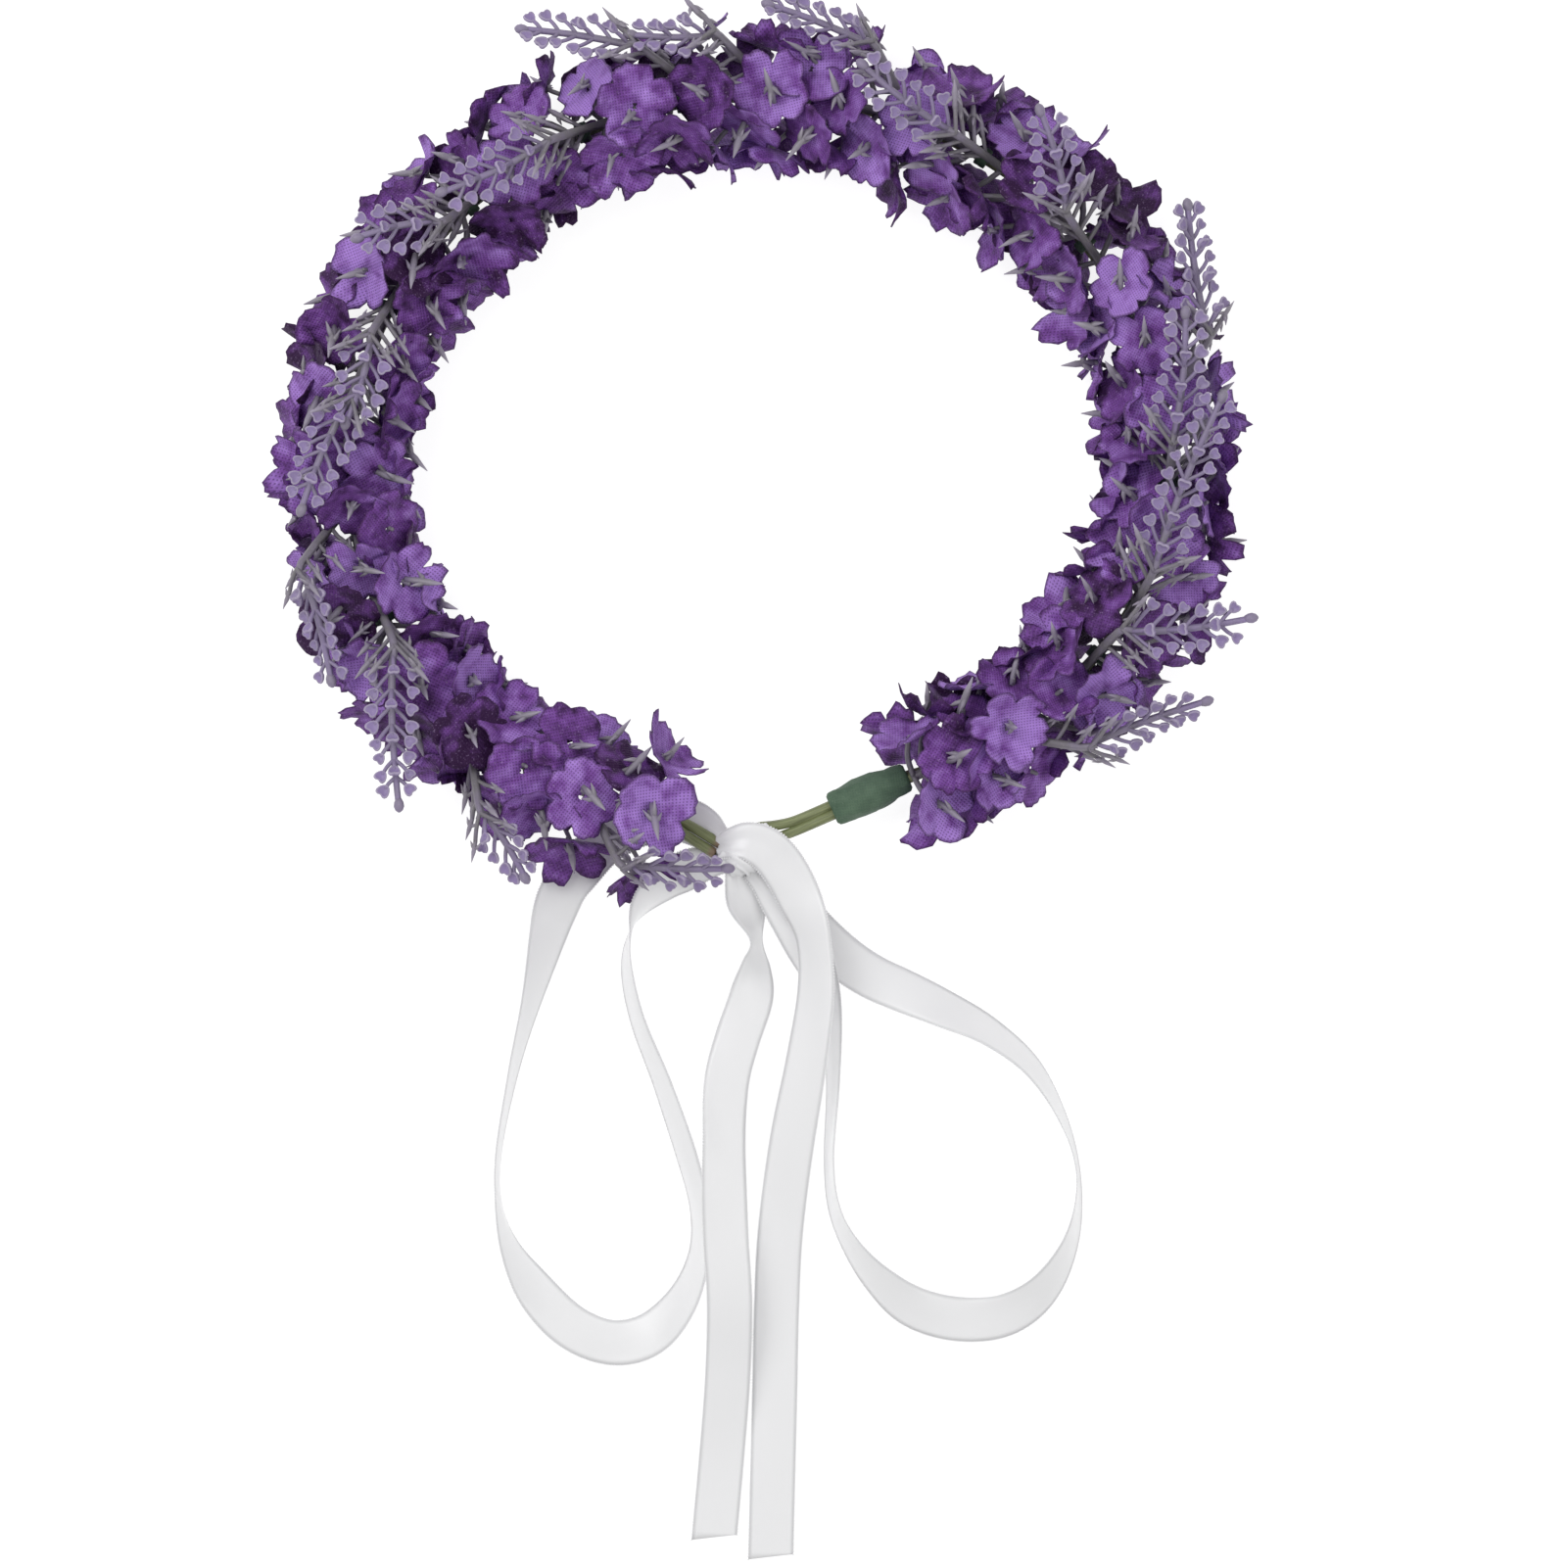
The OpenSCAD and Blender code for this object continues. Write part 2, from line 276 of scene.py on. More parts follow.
def add_shell(skin: Skin, grid: np.ndarray, normals: np.ndarray, thick: float, uv: np.ndarray, wrap: bool,
              **values: np.ndarray) -> None:
    """Adds a thin closed shell on both sides of a grid of points.

    Args:
        skin: Where it goes.
        grid: Points by row and column, in mm.
        normals: The direction of the thickness at each point.
        thick: Thickness in mm.
        uv: A pair for each point, in mm.
        wrap: Whether the last column joins the first.
        values: Named numbers, one for each point of the grid.
    """
    rows, cols = grid.shape[:2]
    half = normals * thick / 2
    verts = np.vstack([(grid + half).reshape(-1, 3), (grid - half).reshape(-1, 3)])
    back, faces, uvs = rows * cols, [], []
    flat_uv = uv.reshape(-1, 2)

    def put(*corners: int) -> None:
        """Adds one face, with the same UV on both sides."""
        faces.append(corners)
        uvs.extend(tuple(flat_uv[c % back]) for c in corners)

    last = cols if wrap else cols - 1
    for i in range(rows - 1):
        for j in range(last):
            k = (j + 1) % cols
            a, b, c, d = i * cols + j, i * cols + k, (i + 1) * cols + k, (i + 1) * cols + j
            put(a, b, c, d)
            put(a + back, d + back, c + back, b + back)
    for i, way in ((0, 1), (rows - 1, -1)):
        for j in range(last):
            a, b = i * cols + j, i * cols + (j + 1) % cols
            put(*((a, a + back, b + back, b)[::way]))
    if not wrap:
        for j, way in ((0, -1), (cols - 1, 1)):
            for i in range(rows - 1):
                a, b = i * cols + j, (i + 1) * cols + j
                put(*((a, a + back, b + back, b)[::way]))
    skin.add(verts, faces, uvs, **{k: np.tile(np.asarray(v, float).ravel(), 2) for k, v in values.items()})


def shown(name: str, mesh: bpy.types.Mesh, finish: bpy.types.Material, body: Body,
          stands_for: tuple[str, ...] = ()) -> bpy.types.Object:
    """Puts a finished mesh in the scene, with its material.

    Args:
        name: Name of the piece.
        mesh: Its mesh, in metres and in place.
        finish: Its material.
        body: The body it belongs to, named in the log.
        stands_for: The nodes that it replaces.

    Returns:
        The piece.
    """
    piece = bpy.data.objects.new(name, mesh)
    bpy.context.scene.collection.objects.link(piece)
    mesh.materials.clear()
    mesh.materials.append(finish)
    if stands_for:
        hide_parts(*stands_for)
    LOG.info("%s: %d faces on %s", name, len(mesh.polygons), body.value)
    return piece


# ---------------------------------------------------------------- geometry nodes


class Wiring:
    """Short calls for building a node tree."""

    def __init__(self, tree: bpy.types.NodeTree) -> None:
        """Keeps the tree."""
        self.tree = tree

    def node(self, kind: str, feeds: dict[str | int, object] | None = None, **options: object) -> bpy.types.Node:
        """A new node with the given inputs and properties.

        Args:
            kind: The node's type.
            feeds: A value or a socket for each input, by name or number.
            options: Its properties, set first.

        Returns:
            The node.
        """
        made = self.tree.nodes.new(kind)
        for key, value in options.items():
            setattr(made, key, value)
        for key, value in (feeds or {}).items():
            self.feed(made.inputs[key], value)
        return made

    def feed(self, target: bpy.types.NodeSocket, source: object) -> None:
        """Links a socket, or sets its value."""
        if isinstance(source, bpy.types.NodeSocket):
            self.tree.links.new(source, target)
        else:
            target.default_value = source

    def math(self, operation: str, *values: object) -> bpy.types.NodeSocket:
        """The result of a Math node."""
        return self.node("ShaderNodeMath", dict(enumerate(values)), operation=operation).outputs[0]

    def blend(self, share: object, first: object, second: object) -> bpy.types.NodeSocket:
        """A colour between two others, by the share of the second."""
        return self.node("ShaderNodeMix", {0: share, 6: first, 7: second}, data_type="RGBA").outputs[2]

    def wash(self, under: object, over: object, mask: object, most: float) -> bpy.types.NodeSocket:
        """A colour with another over it where a mask is 1, at most by the given share."""
        return self.blend(self.math("MULTIPLY", mask, most), under, over)

    def ramp(self, value: object, low: float, high: float) -> bpy.types.NodeSocket:
        """0 below low, 1 above high, and even between."""
        feeds = {"Value": value, "From Min": low, "From Max": high}
        return self.node("ShaderNodeMapRange", feeds, clamp=True).outputs[0]

    def value(self, name: str) -> bpy.types.NodeSocket:
        """A named value that the mesh carries."""
        return self.node("ShaderNodeAttribute", attribute_name=name).outputs["Fac"]


def geometry_tree(name: str, inputs: dict[str, str]) -> tuple[Wiring, bpy.types.Node, bpy.types.Node, dict[str, str]]:
    """Starts a node tree that ends by making its instances real and dressing them.

    Args:
        name: Name of the tree.
        inputs: The kind of each input, one of them the material, "Finish".

    Returns:
        The wiring, the input node, the node that places instances, and the identifier of each input.
    """
    tree = bpy.data.node_groups.new(name, "GeometryNodeTree")
    keys = {key: tree.interface.new_socket(key, in_out="INPUT", socket_type=f"NodeSocket{kind}").identifier
            for key, kind in inputs.items()}
    tree.interface.new_socket("Pieces", in_out="OUTPUT", socket_type="NodeSocketGeometry")
    w = Wiring(tree)
    ins, place = w.node("NodeGroupInput"), w.node("GeometryNodeInstanceOnPoints")
    real = w.node("GeometryNodeRealizeInstances", {"Geometry": place.outputs["Instances"]})
    dress = w.node("GeometryNodeSetMaterial", {"Geometry": real.outputs["Geometry"],
                                               "Material": ins.outputs["Finish"]})
    w.node("NodeGroupOutput", {"Pieces": dress.outputs["Geometry"]})
    return w, ins, place, keys


def carrier_of(mesh: bpy.types.Mesh) -> bpy.types.Object:
    """An object in the scene that holds a mesh for a node tree to read.

    Args:
        mesh: The mesh.

    Returns:
        The object.
    """
    carrier = bpy.data.objects.new("carrier", mesh)
    bpy.context.scene.collection.objects.link(carrier)
    return carrier


def grown(carrier: bpy.types.Object, tree: bpy.types.NodeTree, inputs: dict[str, object]) -> bpy.types.Mesh:
    """The plain mesh that a node tree makes of a carrier, which is then removed.

    Args:
        carrier: The object that the tree reads.
        tree: The geometry node tree.
        inputs: The value of each input, by its identifier.

    Returns:
        The mesh.
    """
    modifier = carrier.modifiers.new("grow", "NODES")
    modifier.node_group = tree
    for key, value in inputs.items():
        modifier[key] = value
    bpy.context.view_layer.update()
    graph = bpy.context.evaluated_depsgraph_get()
    mesh = bpy.data.meshes.new_from_object(carrier.evaluated_get(graph), depsgraph=graph)
    bpy.data.objects.remove(carrier)
    return mesh


class Scatter:
    """A node tree that puts a chosen shape on each point of a carrier mesh."""

    def __init__(self) -> None:
        """Builds the tree once."""
        w, ins, place, self.keys = geometry_tree(
            "place_shapes", {"Points": "Geometry", "Shapes": "Collection", "Finish": "Material"})
        info = w.node("GeometryNodeCollectionInfo", {"Collection": ins.outputs["Shapes"], "Separate Children": True,
                                                     "Reset Children": True})
        turn = w.node("FunctionNodeEulerToRotation")
        for name, kind, target in (("kind", "INT", place.inputs["Instance Index"]),
                                   ("size", "FLOAT_VECTOR", place.inputs["Scale"]),
                                   ("turn", "FLOAT_VECTOR", turn.inputs["Euler"])):
            read = w.node("GeometryNodeInputNamedAttribute", {"Name": name}, data_type=kind)
            w.feed(target, read.outputs["Attribute"])
        for key, source in (("Points", ins.outputs["Points"]), ("Instance", info.outputs["Instances"]),
                            ("Pick Instance", True), ("Rotation", turn.outputs["Rotation"])):
            w.feed(place.inputs[key], source)
        self.tree = w.tree

    def run(self, places: "Places", shapes: bpy.types.Collection, finish: bpy.types.Material) -> bpy.types.Mesh:
        """Places the shapes and gives back one plain mesh.

        Args:
            places: Where each shape goes.
            shapes: The shapes to choose from, in order of name.
            finish: The material of the result.

        Returns:
            The mesh, in metres.
        """
        return grown(carrier_of(places.mesh()), self.tree, {self.keys["Shapes"]: shapes, self.keys["Finish"]: finish})


@dataclass
class Places:
    """Points for a scatter, in mm, each with its shape, turn and size, and named values."""

    spots: list[tuple[float, float, float]] = field(default_factory=list)
    kinds: list[int] = field(default_factory=list)
    turns: list[tuple[float, float, float]] = field(default_factory=list)
    sizes: list[tuple[float, float, float]] = field(default_factory=list)
    values: dict[str, list[float]] = field(default_factory=dict)

    def put(self, spot: np.ndarray, kind: int, turn: tuple[float, float, float], size: float | tuple,
            **values: float) -> None:
        """Adds one point.

        Args:
            spot: Where, in mm.
            kind: Number of the shape.
            turn: Its Euler angles.
            size: Its scale, one number or three.
            values: Named numbers for the shader.
        """
        self.spots.append(tuple(spot))
        self.kinds.append(kind)
        self.turns.append(tuple(turn))
        self.sizes.append(tuple(size) if isinstance(size, tuple) else (size,) * 3)
        for key, value in values.items():
            self.values.setdefault(key, []).append(value)

    def mesh(self) -> bpy.types.Mesh:
        """The points as a mesh of loose vertices, with their attributes.

        Returns:
            The mesh, in metres.
        """
        mesh = bpy.data.meshes.new("places")
        mesh.from_pydata((np.array(self.spots) * MM).tolist(), [], [])
        kind = mesh.attributes.new("kind", "INT", "POINT")
        kind.data.foreach_set("value", self.kinds)
        for name, rows in (("turn", self.turns), ("size", self.sizes)):
            layer = mesh.attributes.new(name, "FLOAT_VECTOR", "POINT")
            layer.data.foreach_set("vector", np.array(rows, np.float32).ravel())
        for name, row in self.values.items():
            layer = mesh.attributes.new(name, "FLOAT", "POINT")
            layer.data.foreach_set("value", row)
        return mesh


def shelf(name: str, meshes: list[bpy.types.Mesh]) -> bpy.types.Collection:
    """A collection outside the scene that holds one object for each mesh, in order.

    Args:
        name: Name of the collection.
        meshes: The meshes, in order.

    Returns:
        The collection.
    """
    group = bpy.data.collections.new(name)
    for i, mesh in enumerate(meshes):
        group.objects.link(bpy.data.objects.new(f"{name}_{i:02d}", mesh))
    return group


def clear_shelf(group: bpy.types.Collection) -> None:
    """Removes a shelf and the objects on it."""
    for obj in list(group.objects):
        bpy.data.objects.remove(obj)
    bpy.data.collections.remove(group)


def bead_rows(edges: bpy.types.Mesh, spacing: float, radius: float, finish: bpy.types.Material) -> bpy.types.Mesh:
    """Strings small beads along open chains of edges.

    Args:
        edges: A mesh that holds the chains.
        spacing: Distance between beads, in metres.
        radius: Radius of a bead, in metres.
        finish: The material of the beads.

    Returns:
        One plain mesh.
    """
    w, ins, place, keys = geometry_tree(
        "selvedge_loops", {"Edges": "Geometry", "Spacing": "Float", "Radius": "Float", "Finish": "Material"})
    curve = w.node("GeometryNodeMeshToCurve", {"Mesh": ins.outputs["Edges"]})
    spaced = w.node("GeometryNodeResampleCurve", {"Curve": curve.outputs["Curve"], "Length": ins.outputs["Spacing"]},
                    mode="LENGTH")
    ball = w.node("GeometryNodeMeshIcoSphere", {"Radius": ins.outputs["Radius"], "Subdivisions": 1})
    w.feed(place.inputs["Points"], spaced.outputs["Curve"])
    w.feed(place.inputs["Instance"], ball.outputs["Mesh"])
    return grown(carrier_of(edges), w.tree,
                 {keys["Spacing"]: spacing, keys["Radius"]: radius, keys["Finish"]: finish})


# ---------------------------------------------------------------- shader groups and finishes


def colour(red: int, green: int, blue: int) -> tuple[float, float, float, float]:
    """A colour of 0 to 255 a channel, in the linear values that shaders take."""
    def linear(c: float) -> float:
        """One channel."""
        c /= 255
        return c / 12.92 if c <= 0.04045 else ((c + 0.055) / 1.055) ** 2.4
    return (linear(red), linear(green), linear(blue), 1.0)


def group(name: str, inputs: dict[str, float | None], outputs: tuple[str, ...]) -> tuple:
    """Starts a shader group.

    Args:
        name: Name of the group.
        inputs: Its inputs with their defaults, None for a vector.
        outputs: Names of its outputs, all of them single numbers.

    Returns:
        Its wiring, its input sockets and its output sockets.
    """
    tree = bpy.data.node_groups.new(name, "ShaderNodeTree")
    for key, start in inputs.items():
        kind = "NodeSocketVector" if start is None else "NodeSocketFloat"
        made = tree.interface.new_socket(key, in_out="INPUT", socket_type=kind)
        if start is not None:
            made.default_value = start
    for key in outputs:
        tree.interface.new_socket(key, in_out="OUTPUT", socket_type="NodeSocketFloat")
    w = Wiring(tree)
    return w, w.node("NodeGroupInput").outputs, w.node("NodeGroupOutput").inputs


def weave_group() -> bpy.types.NodeTree:
    """Threads that cross: a height and a mask of the gaps, from a UV map in mm.

    Returns:
        The group.
    """
    w, ins, out = group("thread_weave", {"Cloth": None, "Pitch": 0.4, "Skew": 0.0}, ("Height", "Gaps"))
    split = w.node("ShaderNodeSeparateXYZ", {0: ins["Cloth"]}).outputs
    u = w.math("ADD", split["X"], w.math("MULTIPLY", split["Y"], ins["Skew"]))
    v = w.math("SUBTRACT", split["Y"], w.math("MULTIPLY", split["X"], ins["Skew"]))
    waves = [w.math("MULTIPLY_ADD", w.math("SINE", w.math("DIVIDE", w.math("MULTIPLY", axis, math.tau), ins["Pitch"])),
                    0.5, 0.5) for axis in (u, v)]
    woven = w.math("MAXIMUM", waves[0], w.math("MULTIPLY", waves[1], 0.8))
    w.feed(out["Height"], woven)
    w.feed(out["Gaps"], w.math("SUBTRACT", 1.0, w.ramp(woven, 0.0, 0.55)))
    return w.tree


def mottle_group() -> bpy.types.NodeTree:
    """Cloudy change over a surface: a value round 0.5 and fine bright flecks.

    Returns:
        The group.
    """
    w, ins, out = group("cloudy_mottle", {"Place": None, "Scale": 200.0, "Contrast": 1.0, "Flecks": 0.5},
                        ("Clouds", "Flecks"))
    cloud = w.node("ShaderNodeTexNoise", {"Vector": ins["Place"], "Scale": ins["Scale"], "Detail": 4.0})
    w.feed(out["Clouds"], w.math("MULTIPLY_ADD", w.math("SUBTRACT", cloud.outputs["Fac"], 0.5), ins["Contrast"], 0.5))
    fine = w.node("ShaderNodeTexNoise", {"Vector": ins["Place"], "Scale": w.math("MULTIPLY", ins["Scale"], 9.0)})
    w.feed(out["Flecks"], w.math("MULTIPLY", w.ramp(fine.outputs["Fac"], 0.6, 0.72), ins["Flecks"]))
    return w.tree


class Finishes:
    """Holds the shader groups and the steps that all materials share."""

    def __init__(self) -> None:
        """Builds the shared groups."""
        self.weave = weave_group()
        self.mottle = mottle_group()

    def start(self, name: str) -> tuple[bpy.types.Material, Wiring]:
        """A new material with its wiring.

        Args:
            name: Name of the material.

        Returns:
            The material and its wiring.
        """
        made = bpy.data.materials.new(name)
        made.use_nodes = True
        return made, Wiring(made.node_tree)

    def cloth(self, w: Wiring) -> bpy.types.NodeSocket:
        """The piece's own UV map, in mm."""
        return w.node("ShaderNodeUVMap", uv_map="cloth").outputs["UV"]

    def threads(self, w: Wiring, pitch: float, skew: float) -> bpy.types.NodeOutputs:
        """The woven threads' outputs, on the piece's own UV map."""
        feeds = {"Cloth": self.cloth(w), "Pitch": pitch, "Skew": skew}
        return w.node("ShaderNodeGroup", feeds, node_tree=self.weave).outputs

    def clouds(self, w: Wiring, scale: float, contrast: float, flecks: float,
               place: bpy.types.NodeSocket | None = None) -> bpy.types.NodeOutputs:
        """The mottle's outputs.

        Args:
            w: The material's wiring.
            scale: Size of the noise.
            contrast: How far the clouds go from the middle.
            flecks: Strength of the flecks.
            place: Where it is read, object coordinates if not given.

        Returns:
            The outputs, Clouds and Flecks.
        """
        feeds = {"Place": place or w.node("ShaderNodeTexCoord").outputs["Object"], "Scale": scale,
                 "Contrast": contrast, "Flecks": flecks}
        return w.node("ShaderNodeGroup", feeds, node_tree=self.mottle).outputs

    def coat(self, w: Wiring, height: object, strength: float, depth: float, inputs: dict[str, object]) -> None:
        """Feeds the material's surface.

        Args:
            w: The material's wiring.
            height: What the bump follows.
            strength: Strength of the bump.
            depth: Its depth in metres.
            inputs: The surface's other inputs, by name.
        """
        bump = w.node("ShaderNodeBump", {"Strength": strength, "Distance": depth, "Height": height})
        for key, value in {**inputs, "Normal": bump.outputs["Normal"]}.items():
            w.feed(w.tree.nodes["Principled BSDF"].inputs[key], value)


@dataclass(frozen=True)
class FloretFabric:
    """Thin dyed fabric, stiffened, with a darker cut edge, glittering threads and painted shade that makes lower
    florets darker and higher ones lighter.
    """

    deep: tuple = colour(50, 20, 62)
    middle: tuple = colour(120, 72, 154)
    light: tuple = colour(170, 130, 212)
    edge: tuple = colour(54, 24, 66)
    glitter: tuple = colour(206, 178, 228)
    sheen: tuple = colour(200, 170, 226)
    pitch: float = 0.8
    gap_depth: float = 0.7
    edge_depth: float = 0.75
    glitter_share: float = 0.3
    roughness: float = 0.62

    def make(self, kit: Finishes) -> bpy.types.Material:
        """Builds the material.

        Args:
            kit: The shared steps of all materials.

        Returns:
            The material.
        """
        made, w = kit.start("floret_fabric_dyed")
        cloud, weave = kit.clouds(w, 190.0, 2.0, 0.75), kit.threads(w, self.pitch, 0.3)
        # each floret's random tone plus painted shade: lower florets darker, higher ones lighter
        tone_and_height_shade = w.math("ADD", w.value("tone_and_height_shade"), w.math("SUBTRACT", cloud["Clouds"], 0.5))
        dye_and_height_shade = w.blend(w.ramp(tone_and_height_shade, 0.0, 0.5), self.deep, self.middle)
        dye_and_height_shade = w.blend(w.ramp(tone_and_height_shade, 0.5, 1.0), dye_and_height_shade, self.light)
        dye_and_height_shade = w.wash(dye_and_height_shade, self.deep, weave["Gaps"], self.gap_depth)
        dye_and_height_shade = w.wash(dye_and_height_shade, self.edge, w.ramp(w.value("rim"), 0.9, 1.0), self.edge_depth)
        dye_and_height_shade = w.wash(dye_and_height_shade, self.glitter, cloud["Flecks"], self.glitter_share)
        kit.coat(w, weave["Height"], 0.5, 0.0003, {
            "Base Color": dye_and_height_shade, "Roughness": self.roughness, "Specular IOR Level": 0.22, "Sheen Weight": 0.08,
            "Sheen Roughness": 0.4, "Sheen Tint": self.sheen})
        return made


@dataclass(frozen=True)
class MouldedPlastic:
    """Soft moulded plastic, grey on the stems and lilac on the buds, with a painted highlight along the rims and
    points.
    """

    stem: tuple = colour(112, 109, 112)
    bud: tuple = colour(138, 120, 166)
    highlight_and_fleck: tuple = colour(204, 194, 214)
    rim_highlight_share: float = 0.5
    fleck_share: float = 0.35
    roughness: float = 0.36
    roughness_swing: float = 0.25

    def make(self, kit: Finishes) -> bpy.types.Material:
        """Builds the material.

        Args:
            kit: The shared steps of all materials.

        Returns:
            The material.
        """
        made, w = kit.start("moulded_plastic_sprig")
        cloud = kit.clouds(w, 260.0, 1.8, 0.4)
        drift = w.math("MULTIPLY", w.math("SUBTRACT", cloud["Clouds"], 0.5), 0.5)
        body = w.blend(w.ramp(w.math("ADD", w.value("lilac"), drift), 0.0, 1.0), self.stem, self.bud)
        # painted highlight: a pale colour laid on by the mesh's rim value, strongest on bud edges and barb points; the
        # same pale colour also makes the random flecks below
        body = w.wash(body, self.highlight_and_fleck, w.value("rim"), self.rim_highlight_share)
        body = w.wash(body, self.highlight_and_fleck, cloud["Flecks"], self.fleck_share)
        rough = w.math("MULTIPLY_ADD", cloud["Clouds"], self.roughness_swing, self.roughness)
        kit.coat(w, cloud["Clouds"], 0.2, 0.0003, {"Base Color": body, "Roughness": rough, "Specular IOR Level": 0.4})
        return made


@dataclass(frozen=True)
class Satin:
    """Woven satin with a faint slant in the weave and darker selvedges."""

    face: tuple = colour(236, 236, 237)
    shade: tuple = colour(206, 206, 208)
    glint: tuple = colour(246, 246, 248)
    pitch: float = 0.36
    gap_depth: float = 0.22
    selvedge_depth: float = 0.6
    glint_share: float = 0.2
    roughness: float = 0.28
    roughness_swing: float = 0.12

    def make(self, kit: Finishes) -> bpy.types.Material:
        """Builds the material.

        Args:
            kit: The shared steps of all materials.

        Returns:
            The material.
        """
        made, w = kit.start("white_satin")
        cloud, weave = kit.clouds(w, 60.0, 1.0, 0.3), kit.threads(w, self.pitch, 1.0)
        body = w.wash(self.face, self.shade, weave["Gaps"], self.gap_depth)
        body = w.wash(body, self.shade, w.ramp(w.value("rim"), 0.82, 0.95), self.selvedge_depth)
        body = w.wash(body, self.glint, cloud["Flecks"], self.glint_share)
        rough = w.math("MULTIPLY_ADD", cloud["Clouds"], self.roughness_swing, self.roughness)
        kit.coat(w, weave["Height"], 0.12, 0.0001, {"Base Color": body, "Roughness": rough, "Anisotropic": 0.4,
                                                    "Sheen Weight": 0.15})
        return made


@dataclass(frozen=True)
class CrepeTape:
    """Crinkled waxed paper tape, with painted shade in its creases."""

    dark: tuple = colour(50, 76, 58)
    light: tuple = colour(92, 118, 94)
    wax: tuple = colour(150, 168, 148)
    pitch: float = 0.7
    crease_shade_depth: float = 0.3
    wax_share: float = 0.35
    roughness: float = 0.66

    def make(self, kit: Finishes) -> bpy.types.Material:
        """Builds the material.

        Args:
            kit: The shared steps of all materials.

        Returns:
            The material.
        """
        made, w = kit.start("crepe_floral_tape")
        cloud, creases = kit.clouds(w, 210.0, 1.5, 0.35), kit.threads(w, self.pitch, 0.25)
        body = w.blend(cloud["Clouds"], self.dark, self.light)
        # painted shade: the dark tone laid into the crepe's creases
        body = w.wash(body, self.dark, creases["Gaps"], self.crease_shade_depth)
        body = w.wash(body, self.wax, cloud["Flecks"], self.wax_share)
        high = w.math("ADD", w.math("MULTIPLY", creases["Height"], 0.4), cloud["Clouds"])
        kit.coat(w, high, 0.4, 0.0004, {"Base Color": body, "Roughness": self.roughness})
        return made


@dataclass(frozen=True)
class CoatedWire:
    """Olive coating with lengthwise streaks, brown where it is cut."""

    dark: tuple = colour(92, 98, 62)
    light: tuple = colour(140, 148, 104)
    cut: tuple = colour(132, 112, 92)
    streak: tuple = (1.0, 0.07, 1.0)
    roughness: float = 0.46

    def make(self, kit: Finishes) -> bpy.types.Material:
        """Builds the material.

        Args:
            kit: The shared steps of all materials.

        Returns:
            The material.
        """
        made, w = kit.start("olive_coated_wire")
        stretch = w.node("ShaderNodeMapping", {"Vector": kit.cloth(w), "Scale": self.streak})
        cloud = kit.clouds(w, 1.7, 2.0, 0.3, stretch.outputs["Vector"])
        body = w.blend(cloud["Clouds"], self.dark, self.light)
        body = w.blend(w.value("cut"), body, self.cut)
        kit.coat(w, cloud["Clouds"], 0.5, 0.0003, {"Base Color": body, "Roughness": self.roughness})
        return made


# ---------------------------------------------------------------- the crown's own rule


@dataclass(frozen=True)
class Tip:
    """A bare sprig tip: row, place round the ring's section, turn, rise, and length in mm."""

    row: int
    place: float
    turn: float
    rise: float
    length: float


TIPS = tuple(Tip(*t) for t in (
    (4, 45, 15, 0, 32), (7, 90, 44, 4, 32), (9, 90, -6, 6, 47), (13, 90, 5, 5, 33), (16, 45, 7, 0, 33),
    (21, 90, 26, 6, 26), (25, 90, 7, 6, 29), (28, 45, 6, 2, 28), (32, 45, 3, 0, 21), (34, 45, 20, 0, 29),
    (37, 90, -1, 6, 30), (41, 90, 32, 4, 21), (45, 90, -10, 6, 23), (47, 90, 8, 4, 31), (52, 45, -3, 0, 29),
    (55, 90, 25, 5, 40), (60, 45, 24, 0, 20), (64, 45, -14, 0, 26)))


PLACES = ((45, 135, 225, 315), (0, 90, 180))  # degrees round the section, on even and odd rows


